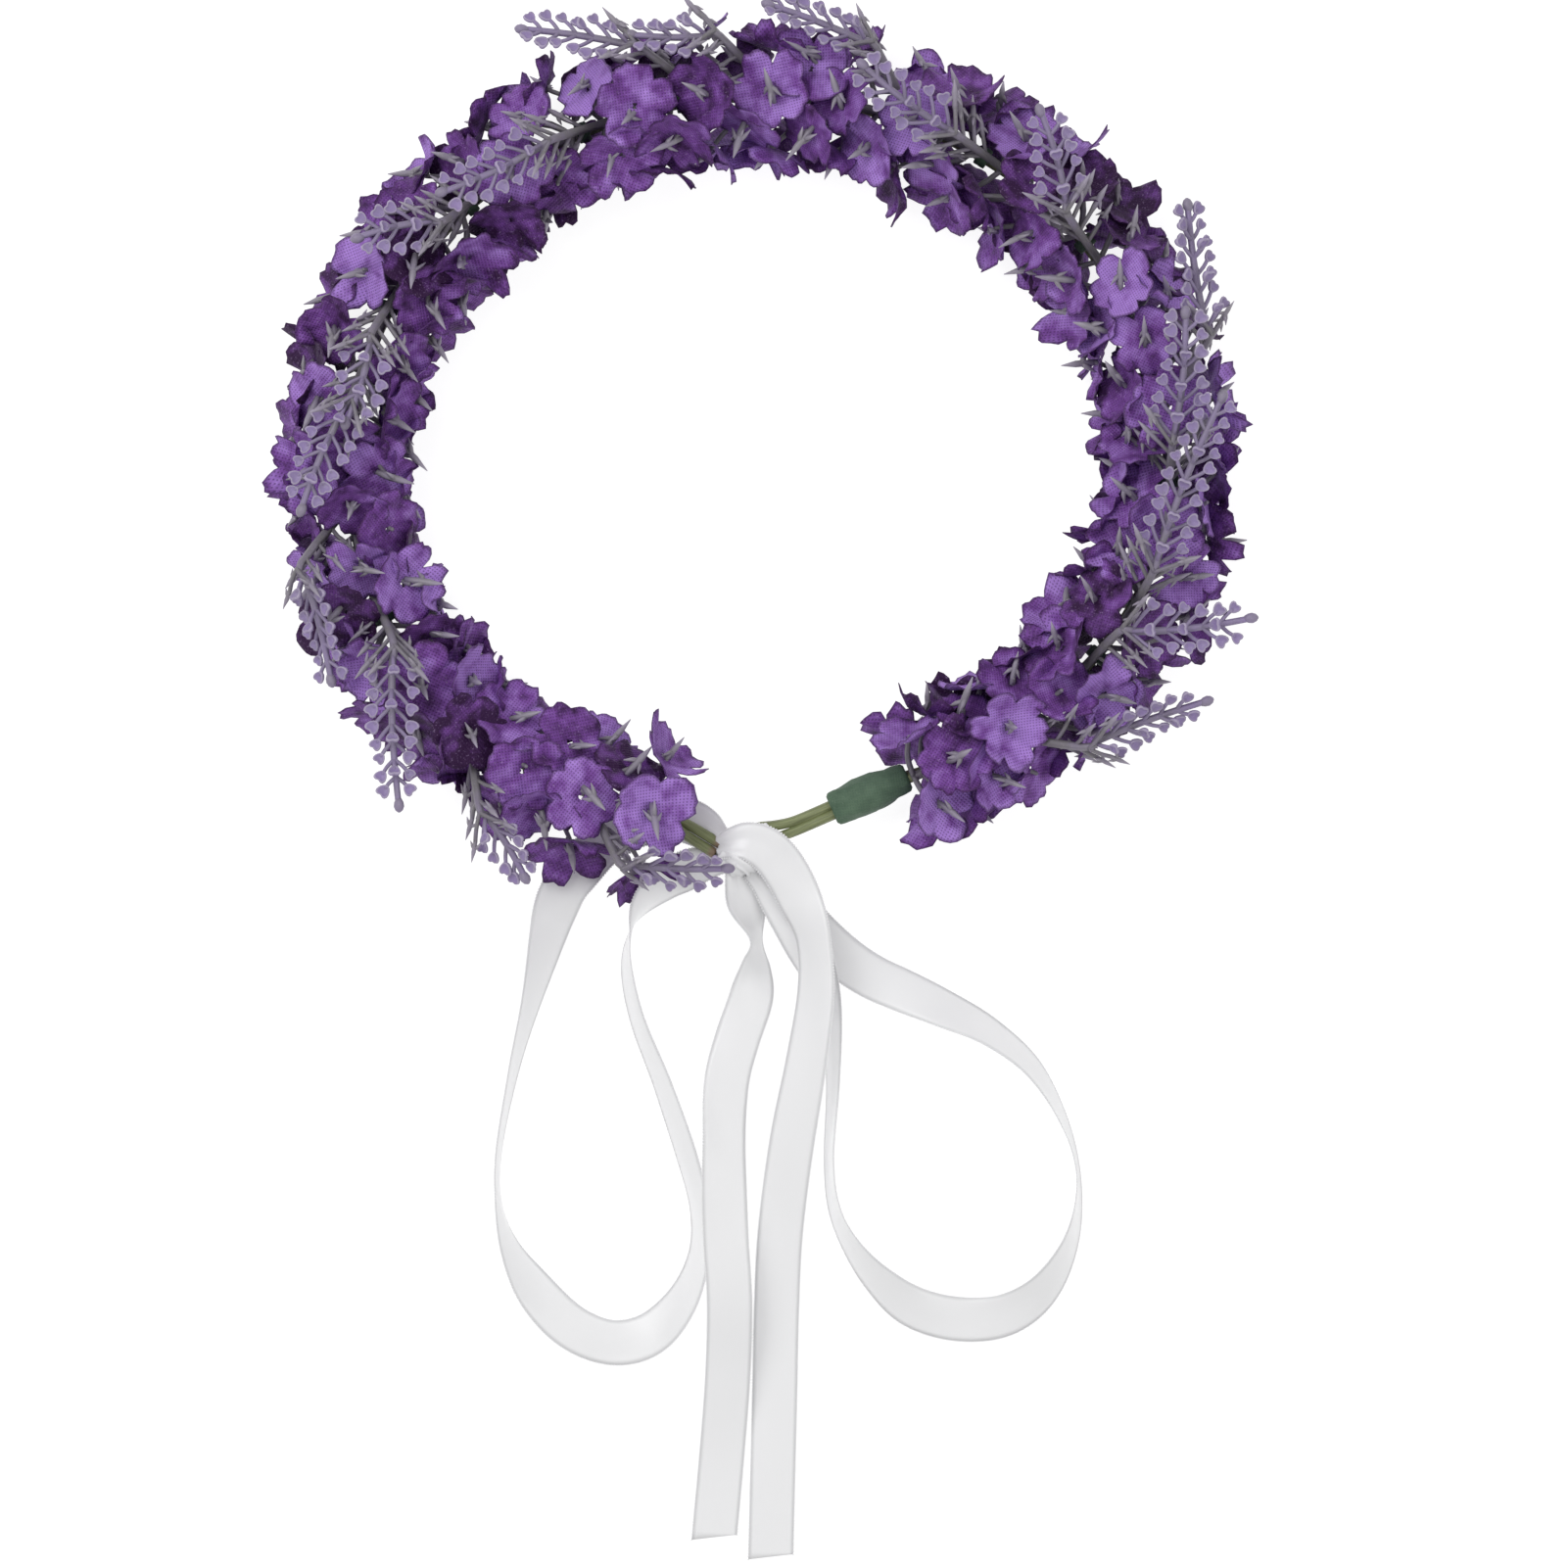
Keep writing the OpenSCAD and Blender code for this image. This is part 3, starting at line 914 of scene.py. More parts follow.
@dataclass(frozen=True)
class Ring:
    """The flowered ring's centreline and the rows of florets on it, in mm and degrees."""

    half_width: float = 104.5
    half_depth: float = 95.0
    height: float = 17.3
    first_angle: float = -64.0
    last_angle: float = 254.0
    rows: int = 66
    reach: float = 12.6
    tip_reach: float = 20.5
    lean: float = 25.0
    right_squeeze: float = 0.09
    left_squeeze: float = 0.04

    def at(self, angle: float) -> np.ndarray:
        """A point of the centreline.

        Args:
            angle: Degrees round the ring, 0 at the right.

        Returns:
            The point, in mm.
        """
        squeeze = (1 - self.right_squeeze * smoothstep((-8 - angle) / 56)
                   - self.left_squeeze * smoothstep((angle - 215) / 40))
        a = math.radians(angle)
        return np.array([squeeze * self.half_width * math.cos(a), squeeze * self.half_depth * math.sin(a),
                         self.height])

    def along(self, angle: float) -> np.ndarray:
        """The direction round the ring, counterclockwise from above."""
        return unit(self.at(angle + 0.5) - self.at(angle - 0.5))

    def outward(self, angle: float) -> np.ndarray:
        """The level direction away from the head."""
        return np.cross(self.along(angle), UP)

    def angle(self, row: float) -> float:
        """The angle of a row."""
        return self.first_angle + row * (self.last_angle - self.first_angle) / (self.rows - 1)

    def round(self, angle: float, place: float) -> np.ndarray:
        """The direction from the centreline to a place round its section."""
        p = math.radians(place)
        return math.cos(p) * self.outward(angle) + math.sin(p) * UP

    def spots(self, k: int) -> list[tuple[int, float]]:
        """The rows and places where a sprig carries florets.

        Args:
            k: Number of the sprig.

        Returns:
            A row and a place in degrees for each floret.
        """
        first = 0 if k == 0 else TIPS[k - 1].row + 1
        last = self.rows - 1 if k == len(TIPS) - 1 else TIPS[k].row
        out = []
        for row in range(first, last + 1):
            for place in PLACES[row % 2]:
                own_tip = (row, place) == (TIPS[k].row, TIPS[k].place)
                if not own_tip and not (row >= self.rows - 5 and place > 180):
                    out.append((row, float(place)))
        return out

    def root(self, row: int) -> np.ndarray:
        """Where the arm to a row's florets leaves the stem."""
        return self.at(self.angle(max(row - 1, -0.3)))

    def floret(self, row: int, place: float) -> np.ndarray:
        """The middle of a floret."""
        angle = self.angle(row)
        return self.at(angle) + self.reach * self.round(angle, place)

    def tip_frame(self, k: int) -> tuple[np.ndarray, np.ndarray, np.ndarray, np.ndarray]:
        """A bare tip's foot, direction, side and top direction.

        Args:
            k: Number of the sprig.

        Returns:
            The foot in mm, and three directions of length one.
        """
        tip = TIPS[k]
        angle = self.angle(tip.row)
        foot = (self.at(angle) + self.tip_reach * self.round(angle, tip.place)
                + 0.6 * (self.tip_reach - self.reach) * self.along(angle))
        yaw, up = math.radians(tip.turn), math.radians(tip.rise)
        way = (math.cos(up) * (math.cos(yaw) * self.along(angle) + math.sin(yaw) * self.outward(angle))
               + math.sin(up) * UP)
        side = unit(np.cross(way, self.round(angle, tip.place)))
        return foot, way, side, np.cross(side, way)


# ---------------------------------------------------------------- florets


@dataclass
class Florets:
    """The fabric florets: several cut shapes, each curled in its own way."""

    ring: Ring
    radius: float = 11.6
    thick: float = 0.22
    segments: int = 50
    shapes: int = 14
    seed: int = 41
    shares: tuple = (0.0, 0.3, 0.58, 0.82, 1.0)
    hole: float = 0.8
    ruffle: float = 0.62
    lobes: tuple = (5, 5, 6, 5, 4, 5, 7)
    lowest: float = 2.2
    tilt: float = 0.22
    scatter: float = 0.7

    def outline(self, rng: np.random.Generator, lobes: int) -> tuple[np.ndarray, np.ndarray]:
        """One floret's edge.

        Args:
            rng: The source of small differences.
            lobes: Number of lobes.

        Returns:
            The angle and the radius at each point round it.
        """
        per = self.segments // lobes
        angles, radii, start = [], [], 0.0
        widths = rng.uniform(0.85, 1.15, lobes)
        widths *= math.tau / widths.sum()
        for width in widths:
            size, notch = rng.uniform(0.88, 1.06), rng.uniform(0.6, 0.8)
            for q in range(per):
                u = 2 * q / per - 1
                angles.append(start + width * q / per)
                dent = 0.05 * math.exp(-((u * 3.2) ** 2)) * rng.uniform(0, 1.6)
                radii.append(self.radius * (notch + (size - notch) * (1 - abs(u) ** 3) - dent + rng.normal(0, 0.02)))
            start += width
        return np.array(angles), np.array(radii)

    def shape(self, number: int) -> bpy.types.Mesh:
        """One curled floret, its middle at the origin and its face towards Z.

        Args:
            number: Number of the shape, which sets its lobes and its curl.

        Returns:
            The mesh, in metres.
        """
        rng = np.random.default_rng(self.seed + number)
        lobes = self.lobes[number % len(self.lobes)]
        angles, radii = self.outline(rng, lobes)
        per = self.segments // lobes
        cup = rng.uniform(-0.10, 0.22)
        curl, fold = (np.repeat(rng.uniform(low, high, lobes), per) for low, high in ((-0.38, 0.40), (-0.34, 0.36)))
        bend_way, bend = rng.uniform(0, math.tau), rng.uniform(0.0, 0.30)
        waves, phase = int(rng.integers(9, 14)), float(rng.uniform(0, math.tau))
        slit = self.hole * np.where(np.abs(np.sin(angles)) > 0.5, 1.0, 0.45)
        share = np.array(self.shares)[:, None]
        r = slit + share * (radii - slit)
        x, y, q = r * np.cos(angles), r * np.sin(angles), r / self.radius
        u = np.tile(2 * np.arange(per) / per - 1, lobes)
        across_bend = (x * math.cos(bend_way) + y * math.sin(bend_way)) / self.radius
        z = self.radius * (cup * q**2 + curl * q**3 * (1 - u * u) * 0.8 + fold * q**2 * (u * u - 0.35)
                           + bend * across_bend**2)
        z += rng.normal(0, 0.13, q.shape) * q + 0.24 * q * np.sin(5.0 * angles + number)
        z += self.ruffle * q**3 * np.sin(waves * angles + phase)
        pull = 1 - 0.16 * np.abs(curl) * q - 0.10 * abs(cup) * q
        grid = np.dstack([x * pull, y * pull, z])
        across = np.roll(grid, -1, axis=1) - np.roll(grid, 1, axis=1)
        normals = np.cross(np.gradient(grid, axis=0), across)
        normals /= np.maximum(np.linalg.norm(normals, axis=2, keepdims=True), 1e-9)
        skin = Skin()
        add_shell(skin, grid, normals, self.thick, grid[:, :, :2], True, rim=share + 0 * q)
        return skin.mesh(f"floret_shape_{number:02d}")

    def build(self, kit: Finishes, scatter: Scatter) -> None:
        """Args:
            kit: The shared steps of all materials.
            scatter: The tree that places repeated shapes.
        """
        finish = FloretFabric().make(kit)
        meshes = [self.shape(i) for i in range(self.shapes)]
        areas = [sum(p.area for p in m.polygons) / 2 for m in meshes]
        store = shelf("floret_shape", meshes)
        for k in range(len(TIPS)):
            rng = np.random.default_rng(self.seed * 100 + k)
            places, area = Places(), 0.0
            for row, place in self.ring.spots(k):
                angle = self.ring.angle(row)
                along, out = self.ring.along(angle), self.ring.round(angle, place)
                lean = math.radians(self.ring.lean + rng.normal(0, 9))
                normal = math.cos(lean) * out + math.sin(lean) * along
                normal = unit(normal + rng.normal(0, 0.24, 3) + [0, 0, self.tilt if place <= 180 else 0.0])
                spot = self.ring.floret(row, place) + rng.normal(0, self.scatter, 3) + out * rng.uniform(-1.6, 1.2)
                spin = rng.uniform(0, math.tau)
                side = unit(np.cross(normal, along + [0.01, 0.02, 0.03]))
                turned = math.cos(spin) * side + math.sin(spin) * np.cross(normal, side)
                low = place in (0, 180, 225, 315)
                kind = int(rng.integers(self.shapes))
                size = float(rng.uniform(0.92, 1.1) if low else rng.uniform(0.84, 1.06))
                spot[2] = max(spot[2], self.lowest)
                # random tone per floret, plus painted shade: the height term makes lower florets darker and higher ones
                # lighter
                tone_and_height_shade = float(np.clip(rng.normal(0.5, 0.25) + 0.014 * (spot[2] - 20), 0.0, 0.97))
                places.put(spot, kind, turn_of(turned, normal), size, tone_and_height_shade=tone_and_height_shade)
                area += areas[kind] * size * size
            mesh = scatter.run(places, store, finish)
            lift_off_floor(mesh)
            piece = shown(f"florets_{k + 1:02d}", mesh, finish, Body.CROWN,
                          (f"fabric_florets_{k + 1:02d}",))
            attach(piece, Body.CROWN.value)
        clear_shelf(store)


def lift_off_floor(mesh: bpy.types.Mesh, lowest: float = 0.0002, pressed: float = 0.002) -> None:
    """Presses the lowest points of a mesh flat on the surface that the crown lies on.

    Args:
        mesh: The mesh, in metres.
        lowest: The height that no point goes below.
        pressed: The height below which points are pressed together.
    """
    co = np.zeros(len(mesh.vertices) * 3, np.float32)
    mesh.vertices.foreach_get("co", co)
    co = co.reshape(-1, 3)
    low = co[:, 2] < pressed
    co[low, 2] = lowest + (pressed - lowest) * np.exp((co[low, 2] - pressed) / pressed)
    mesh.vertices.foreach_set("co", co.ravel())
    mesh.update()


# ---------------------------------------------------------------- sprigs


@dataclass
class Sprigs:
    """The moulded sprigs: stem, arms with barbed ends, and a bare tip with pairs of buds."""

    ring: Ring
    stem: float = 1.0
    arm: float = 0.62
    seed: int = 7
    sway: float = 0.96
    past_end: float = 2.5
    bare: int = 25
    bud_pitch: float = 4.5
    bud_levels: tuple = ((0.7, 0.3, 0.1), (0.9, 0.58, 1.0), (1.0, 0.0, 0.45), (0.8, -0.5, 0.1))
    bud_poles: tuple = (0.22, -0.45)
    barb_lengths: tuple = (6.4, 5.4, 7.2)
    barb_share: float = 0.92
    side_arms: tuple = (0.4, 0.66, 0.9, 1.08)

    def bud(self) -> bpy.types.Mesh:
        """A flat heart-shaped bud of two lobes, its stalk towards -X.

        Returns:
            The mesh, in metres.
        """
        a = np.linspace(0, math.tau, 16, endpoint=False)
        ahead = np.where(a < math.pi, a, a - math.tau)
        bulge = np.abs(np.sin(a))
        x = 1.55 * np.cos(a) * (0.92 + 0.16 * bulge) - 0.42 * np.exp(-((ahead * 2.6) ** 2))
        y = 1.75 * np.sin(a) * (0.80 + 0.28 * np.cos(a)) * (0.925 + 0.075 * bulge**0.8)
        edge = np.column_stack([x + 0.9, y])
        middle = edge.mean(axis=0)
        verts = np.vstack([np.column_stack([middle + share * (edge - middle), np.full(len(a), z)])
                           for share, z, _ in self.bud_levels] + [[*middle, z] for z in self.bud_poles])
        # rim sets the painted highlight along the bud's upper edge
        rim = np.concatenate([np.repeat([level[2] for level in self.bud_levels], len(a)), [0.0, 0.0]])
        skin, faces = Skin(), ring_faces(len(self.bud_levels), len(a))
        skin.add(verts, faces, corner_uvs(faces, verts), rim=rim, lilac=0.95 - 0.35 * rim)
        return skin.mesh("bud")

    def barb(self, number: int) -> bpy.types.Mesh:
        """An arm's end: a blade along X with two or three short points swept back, as on an arrowhead.

        Args:
            number: Number of the shape.

        Returns:
            The mesh, in metres.
        """
        rng = np.random.default_rng(300 + number)
        skin, length = Skin(), self.barb_lengths[number]
        blade = np.array([[-2.0, 0, 0], [0, 0, 0], [length * 0.5, 0, 0.2], [length, 0, 0.5]])
        # the rim values set the painted highlight, strongest at the point
        add_tube(skin, blade, np.array([0.5, 0.75, 0.78, 0.1]), 6, lilac=0.15, rim=np.array([0, 0.25, 0.4, 0.8]))
        for side in ((-1, 1, 0) if number else (-1, 1)):
            a = math.radians(rng.uniform(118, 146)) * (side or 1)
            lift = 0.0 if side else 1.0
            start = np.array([length * (0.34 if side else 0.2), 0, 0])
            way = np.array([math.cos(a), math.sin(a) * (1 - 0.8 * lift), lift * 0.7 + rng.uniform(-0.2, 0.2)])
            reach = rng.uniform(2.2, 3.2)
            path = np.array([start, start + way * reach * 0.5, start + way * reach + [-0.5, 0, 0.1]])
            add_tube(skin, path, np.array([0.62, 0.55, 0.1]), 5, lilac=0.1, rim=np.array([0.2, 0.35, 0.8]))
        return skin.mesh(f"barb_{number}")

    def on_tip(self, k: int, distance: float) -> np.ndarray:
        """A point of a bare tip's swaying line, at a distance from its foot.

        Args:
            k: Number of the sprig.
            distance: Distance from the foot, in mm.

        Returns:
            The point, in mm.
        """
        foot, way, side, _ = self.ring.tip_frame(k)
        sway = self.sway * (1 if k % 2 else -1) * math.sin(math.pi * distance / (TIPS[k].length + self.past_end))
        return foot + way * distance + side * sway

    def stem_path(self, k: int) -> np.ndarray:
        """The line of one sprig's stem, from its taped foot to the end of its bare tip.

        Args:
            k: Number of the sprig.

        Returns:
            Its points, in mm.
        """
        first = 0 if k == 0 else TIPS[k - 1].row + 1
        rows = np.arange(max(first - 1.55, -0.3), TIPS[k].row - 0.9, 0.5)
        return np.array([self.ring.at(self.ring.angle(r)) for r in rows]
                        + [self.on_tip(k, d) for d in np.linspace(0, TIPS[k].length + self.past_end, 9)])

    def build(self, kit: Finishes, scatter: Scatter) -> None:
        """Makes one piece for each sprig.

        Args:
            kit: The shared steps of all materials.
            scatter: The tree that places repeated shapes.
        """
        finish = MouldedPlastic().make(kit)
        store = shelf("sprig_shape", [*(self.barb(n) for n in range(len(self.barb_lengths))), self.bud()])
        for k in range(len(TIPS)):
            rng = np.random.default_rng(self.seed * 100 + k)
            skin, places = Skin(), Places()
            line = spline(self.stem_path(k), 3)
            thick = np.full(len(line), self.stem)
            thick[-self.bare:] = np.linspace(self.stem * 0.92, self.stem * 0.72, self.bare)
            hue = float(rng.uniform(0.0, 0.55))
            tone = np.zeros(len(line))
            tone[-self.bare:] = np.linspace(0.2, 0.6 + 0.4 * hue, self.bare)
            add_tube(skin, line, thick, 12, flute=0.10, lilac=tone, rim=0.08)
            self.add_tip(skin, places, k, rng, hue)
            for row, place in self.ring.spots(k):
                self.add_arm(skin, places, row, place, rng)
            scattered = scatter.run(places, store, finish)
            mesh = joined(skin.mesh("sprig"), scattered, f"sprig_{k + 1:02d}")
            lift_off_floor(mesh)
            piece = shown(f"sprig_{k + 1:02d}", mesh, finish, Body.CROWN,
                          (f"lavender_sprig_{k + 1:02d}",))
            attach(piece, Body.CROWN.value)
        clear_shelf(store)

    def add_arm(self, skin: Skin, places: Places, row: int, place: float, rng: np.random.Generator) -> None:
        """Adds one arm from the stem through its floret, with its barbed end.

        Args:
            skin: Where the arm goes.
            places: Where the barb goes.
            row: The floret's row.
            place: Its place round the ring's section.
            rng: The source of small differences.
        """
        start, end = self.ring.root(row), self.ring.floret(row, place)
        angle = self.ring.angle(row)
        out, along = self.ring.round(angle, place), self.ring.along(angle)
        through = unit(out + 0.5 * along)
        bow = start + 0.45 * (end - start) + out * 1.3 - along * 0.6
        line = spline(np.array([start, bow, end, end + through * 1.6]), 3)
        add_tube(skin, line, np.linspace(self.arm * 1.25, self.arm * 0.8, len(line)), 6, lilac=0.08, rim=0.05)
        if rng.random() < self.barb_share:
            across = np.cross(out, along)
            way = unit(rng.uniform(0.2, 1.0) * out + rng.uniform(0.2, 1.0) * along + rng.uniform(-0.8, 0.8) * across)
            spot = end + through * 1.5 + rng.normal(0, 0.4, 3)
            top = unit(out + rng.normal(0, 0.3, 3))
            places.put(spot, self.any_barb(rng), turn_of(way, top), float(rng.uniform(0.95, 1.3)))

    def any_barb(self, rng: np.random.Generator) -> int:
        """The number of one of the barb shapes."""
        return int(rng.integers(len(self.barb_lengths)))

    def add_tip(self, skin: Skin, places: Places, k: int, rng: np.random.Generator, hue: float) -> None:
        """Adds a bare tip's arms and buds, the barbed side arms below them, and the end knob.

        Args:
            skin: Where arms and knob go.
            places: Where buds and barbs go.
            k: Number of the sprig.
            rng: The source of small differences.
            hue: How lilac the tip is.
        """
        foot, way, side, top = self.ring.tip_frame(k)
        length = TIPS[k].length
        for n, d in enumerate(np.arange(3.0, length - 2.0, self.bud_pitch)):
            p = self.on_tip(k, d)
            reach = (8.2 - 4.2 * d / length) * rng.uniform(0.9, 1.08)
            for turn in (1.0, -1.0, 0.0) if n % 2 == 0 and d < length - 8 else (1.0, -1.0):
                out = turn * side * 0.72 + top * (0.75 if turn == 0 else rng.uniform(-0.05, 0.22))
                out = out + rng.normal(0, 0.05, 3)
                aim = unit(0.78 * way + out)
                end = p + aim * reach * (0.8 if turn == 0 else 1.0)
                line = spline(np.array([p, (p + end) / 2 + out * 0.5, end]), 3)
                add_tube(skin, line, np.linspace(0.55, 0.48, len(line)), 6,
                         lilac=np.linspace(0.35, 0.7, len(line)) + 0.3 * hue, rim=0.12)
                places.put(end - aim * 0.5, len(self.barb_lengths), turn_of(aim, top if turn else -way),
                           float(rng.uniform(1.02, 1.3)))
        start = self.ring.at(self.ring.angle(TIPS[k].row - 1))
        for s in self.side_arms:
            for turn in (1.0, -1.0):
                p = start + (foot - start) * s
                aim = unit(0.7 * way + turn * side * rng.uniform(0.5, 0.9) + top * rng.uniform(-0.1, 0.4))
                end = p + aim * rng.uniform(5.0, 8.0)
                line = spline(np.array([p, p + (end - p) * 0.55 + top * 0.4, end]), 3)
                add_tube(skin, line, 0.55, 6, lilac=0.08, rim=0.05)
                places.put(end, self.any_barb(rng), turn_of(aim, top), float(rng.uniform(0.8, 1.05)))
        knob = foot + way * (length + np.array([[0.0], [0.9], [2.0], [3.0], [3.5]]))
        add_tube(skin, knob, np.array([0.75, 1.2, 1.35, 0.95, 0.3]), 10, lilac=0.3 + 0.3 * hue, rim=0.2)


def joined(first: bpy.types.Mesh, second: bpy.types.Mesh, name: str) -> bpy.types.Mesh:
    """Two meshes as one, their attributes kept.

    Args:
        first: A mesh.
        second: Another mesh.
        name: Name of the result.

    Returns:
        The joined mesh.
    """
    work = bmesh.new()
    for mesh in (first, second):
        work.from_mesh(mesh)
    out = bpy.data.meshes.new(name)
    work.to_mesh(out)
    work.free()
    return out


# ---------------------------------------------------------------- wire and tape


@dataclass
class RingWire:
    """The doubled wire, its two runs, its folded eye and its two cut ends."""

    ring: Ring
    radius: float = 1.3
    drop: float = 4.15
    gap: float = 2.62

    def path(self) -> np.ndarray:
        """The whole wire, from one cut end round its folded eye to the other.

        Returns:
            Its points, in mm.
        """
        z = self.ring.height - self.drop
        eye_x, eye_y, eye_half = 1.0, -93.8, 2.3
        right = [(eye_x, eye_y, eye_half, 90), (5, -92.6, 1.5, 90), (10, -91, 1.16, 90), (19.5, -86.9, 1.16, 80),
                 (28, -83.1, 1.24, 50), (36.5, -79.4, 1.31, 20)]
        left = [(-24.5, -88.6, 1.31, 20), (-19.5, -91.6, 1.31, 60), (-15, -94.4, 1.32, 90), (-10.5, -97.2, 1.36, 90)]
        middle = [(*self.ring.at(t)[:2], self.gap / 2, 0) for t in range(-62, 251, 8)]
        line = spline(np.array(right + middle + left, float), 4)
        level = line.copy()
        level[:, 2] = 0
        sides = np.cross(headings(level), UP)
        turn = np.radians(line[:, 3])
        half = line[:, 2:3] * (np.sin(turn)[:, None] * sides + np.cos(turn)[:, None] * UP)
        base = np.column_stack([line[:, :2], np.full(len(line), z)])
        eye = [np.array([eye_x - 3.5 * math.cos(u), eye_y - 1.225 * math.cos(u), z]) + eye_half * math.sin(u) * sides[0]
               for u in np.radians(np.arange(-75, 76, 15))]
        return np.vstack([(base - half)[::-1], eye, base + half])

    def build(self, kit: Finishes) -> None:
        """Makes the wire.

        Args:
            kit: The shared steps of all materials.
        """
        path, skin = self.path(), Skin()
        ends = np.zeros(len(path))
        ends[:2] = ends[-2:] = 1.0
        add_tube(skin, path, self.radius, 14, flute=0.05, cut=ends)
        name = "coated_ring_wire"
        piece = shown(name, skin.mesh(name), CoatedWire().make(kit), Body.CROWN, ("ring_wire",))
        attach(piece, Body.CROWN.value)


@dataclass
class TapeWork:
    """The crinkled tape sleeve and the small bindings of the sprigs' feet."""

    ring: Ring
    sleeve_from: tuple = (18.6, -87.2, 13.15)
    sleeve_to: tuple = (38.0, -78.7, 13.15)
    radius: float = 4.1
    sides: int = 40
    inner: float = 0.62
    shoulder: float = 0.86

    def sleeve(self, skin: Skin, rng: np.random.Generator, a: np.ndarray, b: np.ndarray, radius: float, tall: float,
               rows: int, swell: float) -> None:
        """Adds a closed crinkled sleeve between two points.

        Args:
            skin: Where it goes.
            rng: The source of the crinkles.
            a: One end, in mm.
            b: The other end.
            radius: Half its width.
            tall: Its height as a share of its width.
            rows: Number of rings of points along its outside.
            swell: How much it bulges in the middle, as a share.
        """
        length = float(np.linalg.norm(b - a))
        side = np.cross(unit(b - a), UP)
        ends = ((0.0, self.inner), (0.0, self.shoulder)), ((1.0, self.shoulder), (1.0, self.inner))
        profile = [*ends[0], *((s, 1.0) for s in np.linspace(0.03, 0.97, rows)), *ends[1]]
        waves = [(rng.integers(2, 9), rng.uniform(0, math.tau), rng.uniform(1, 3.5), rng.uniform(0.008, 0.022))
                 for _ in range(7)]
        verts, places = [], []
        for s, r in profile:
            for t in np.arange(self.sides) * math.tau / self.sides:
                crease = sum(h * math.sin(n * t + p + s * math.tau * f) for n, p, f, h in waves)
                wrap = 0.035 * ((s * 4 + t / math.tau) % 1.0)
                bulge = 1 + swell * (math.sin(math.pi * s) - 0.7 * s) + (crease + wrap) * (r > 0.8)
                verts.append(a + (b - a) * s + radius * r * bulge * (math.cos(t) * side + tall * math.sin(t) * UP))
                places.append((t * radius, s * length))
        faces = ring_faces(len(profile), self.sides, closed=True)
        skin.add(np.array(verts), faces, corner_uvs(faces, np.array(places)), rim=0.0)

    def build(self, kit: Finishes) -> None:
        """Makes the sleeve and the bindings.

        Args:
            kit: The shared steps of all materials.
        """
        finish = CrepeTape().make(kit)
        skin = Skin()
        self.sleeve(skin, np.random.default_rng(5), np.array(self.sleeve_from), np.array(self.sleeve_to),
                    self.radius, 1.0, 26, 0.26)
        piece = shown("tape_sleeve", skin.mesh("tape_sleeve"), finish, Body.CROWN, ("floral_tape",))
        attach(piece, Body.CROWN.value)
        skin, rng = Skin(), np.random.default_rng(6)
        for k in range(1, len(TIPS)):
            angle = self.ring.angle(TIPS[k - 1].row + 1 - 1.31)
            middle = self.ring.at(angle) - 2.7 * UP
            half = 1.6 * self.ring.along(angle)
            self.sleeve(skin, rng, middle - half, middle + half, 2.5, 1.85, 5, 0.04)
        piece = shown("foot_bindings", skin.mesh("foot_bindings"), finish, Body.CROWN, ("stem_bindings",))
        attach(piece, Body.CROWN.value)


# ---------------------------------------------------------------- ribbon


@dataclass(frozen=True)
class Strand:
    """One stretch of ribbon: points of x, y, z in mm and roll in degrees, 0 flat and 90 on edge."""

    route: tuple
    gather_end: bool
    slant: float = 0.0


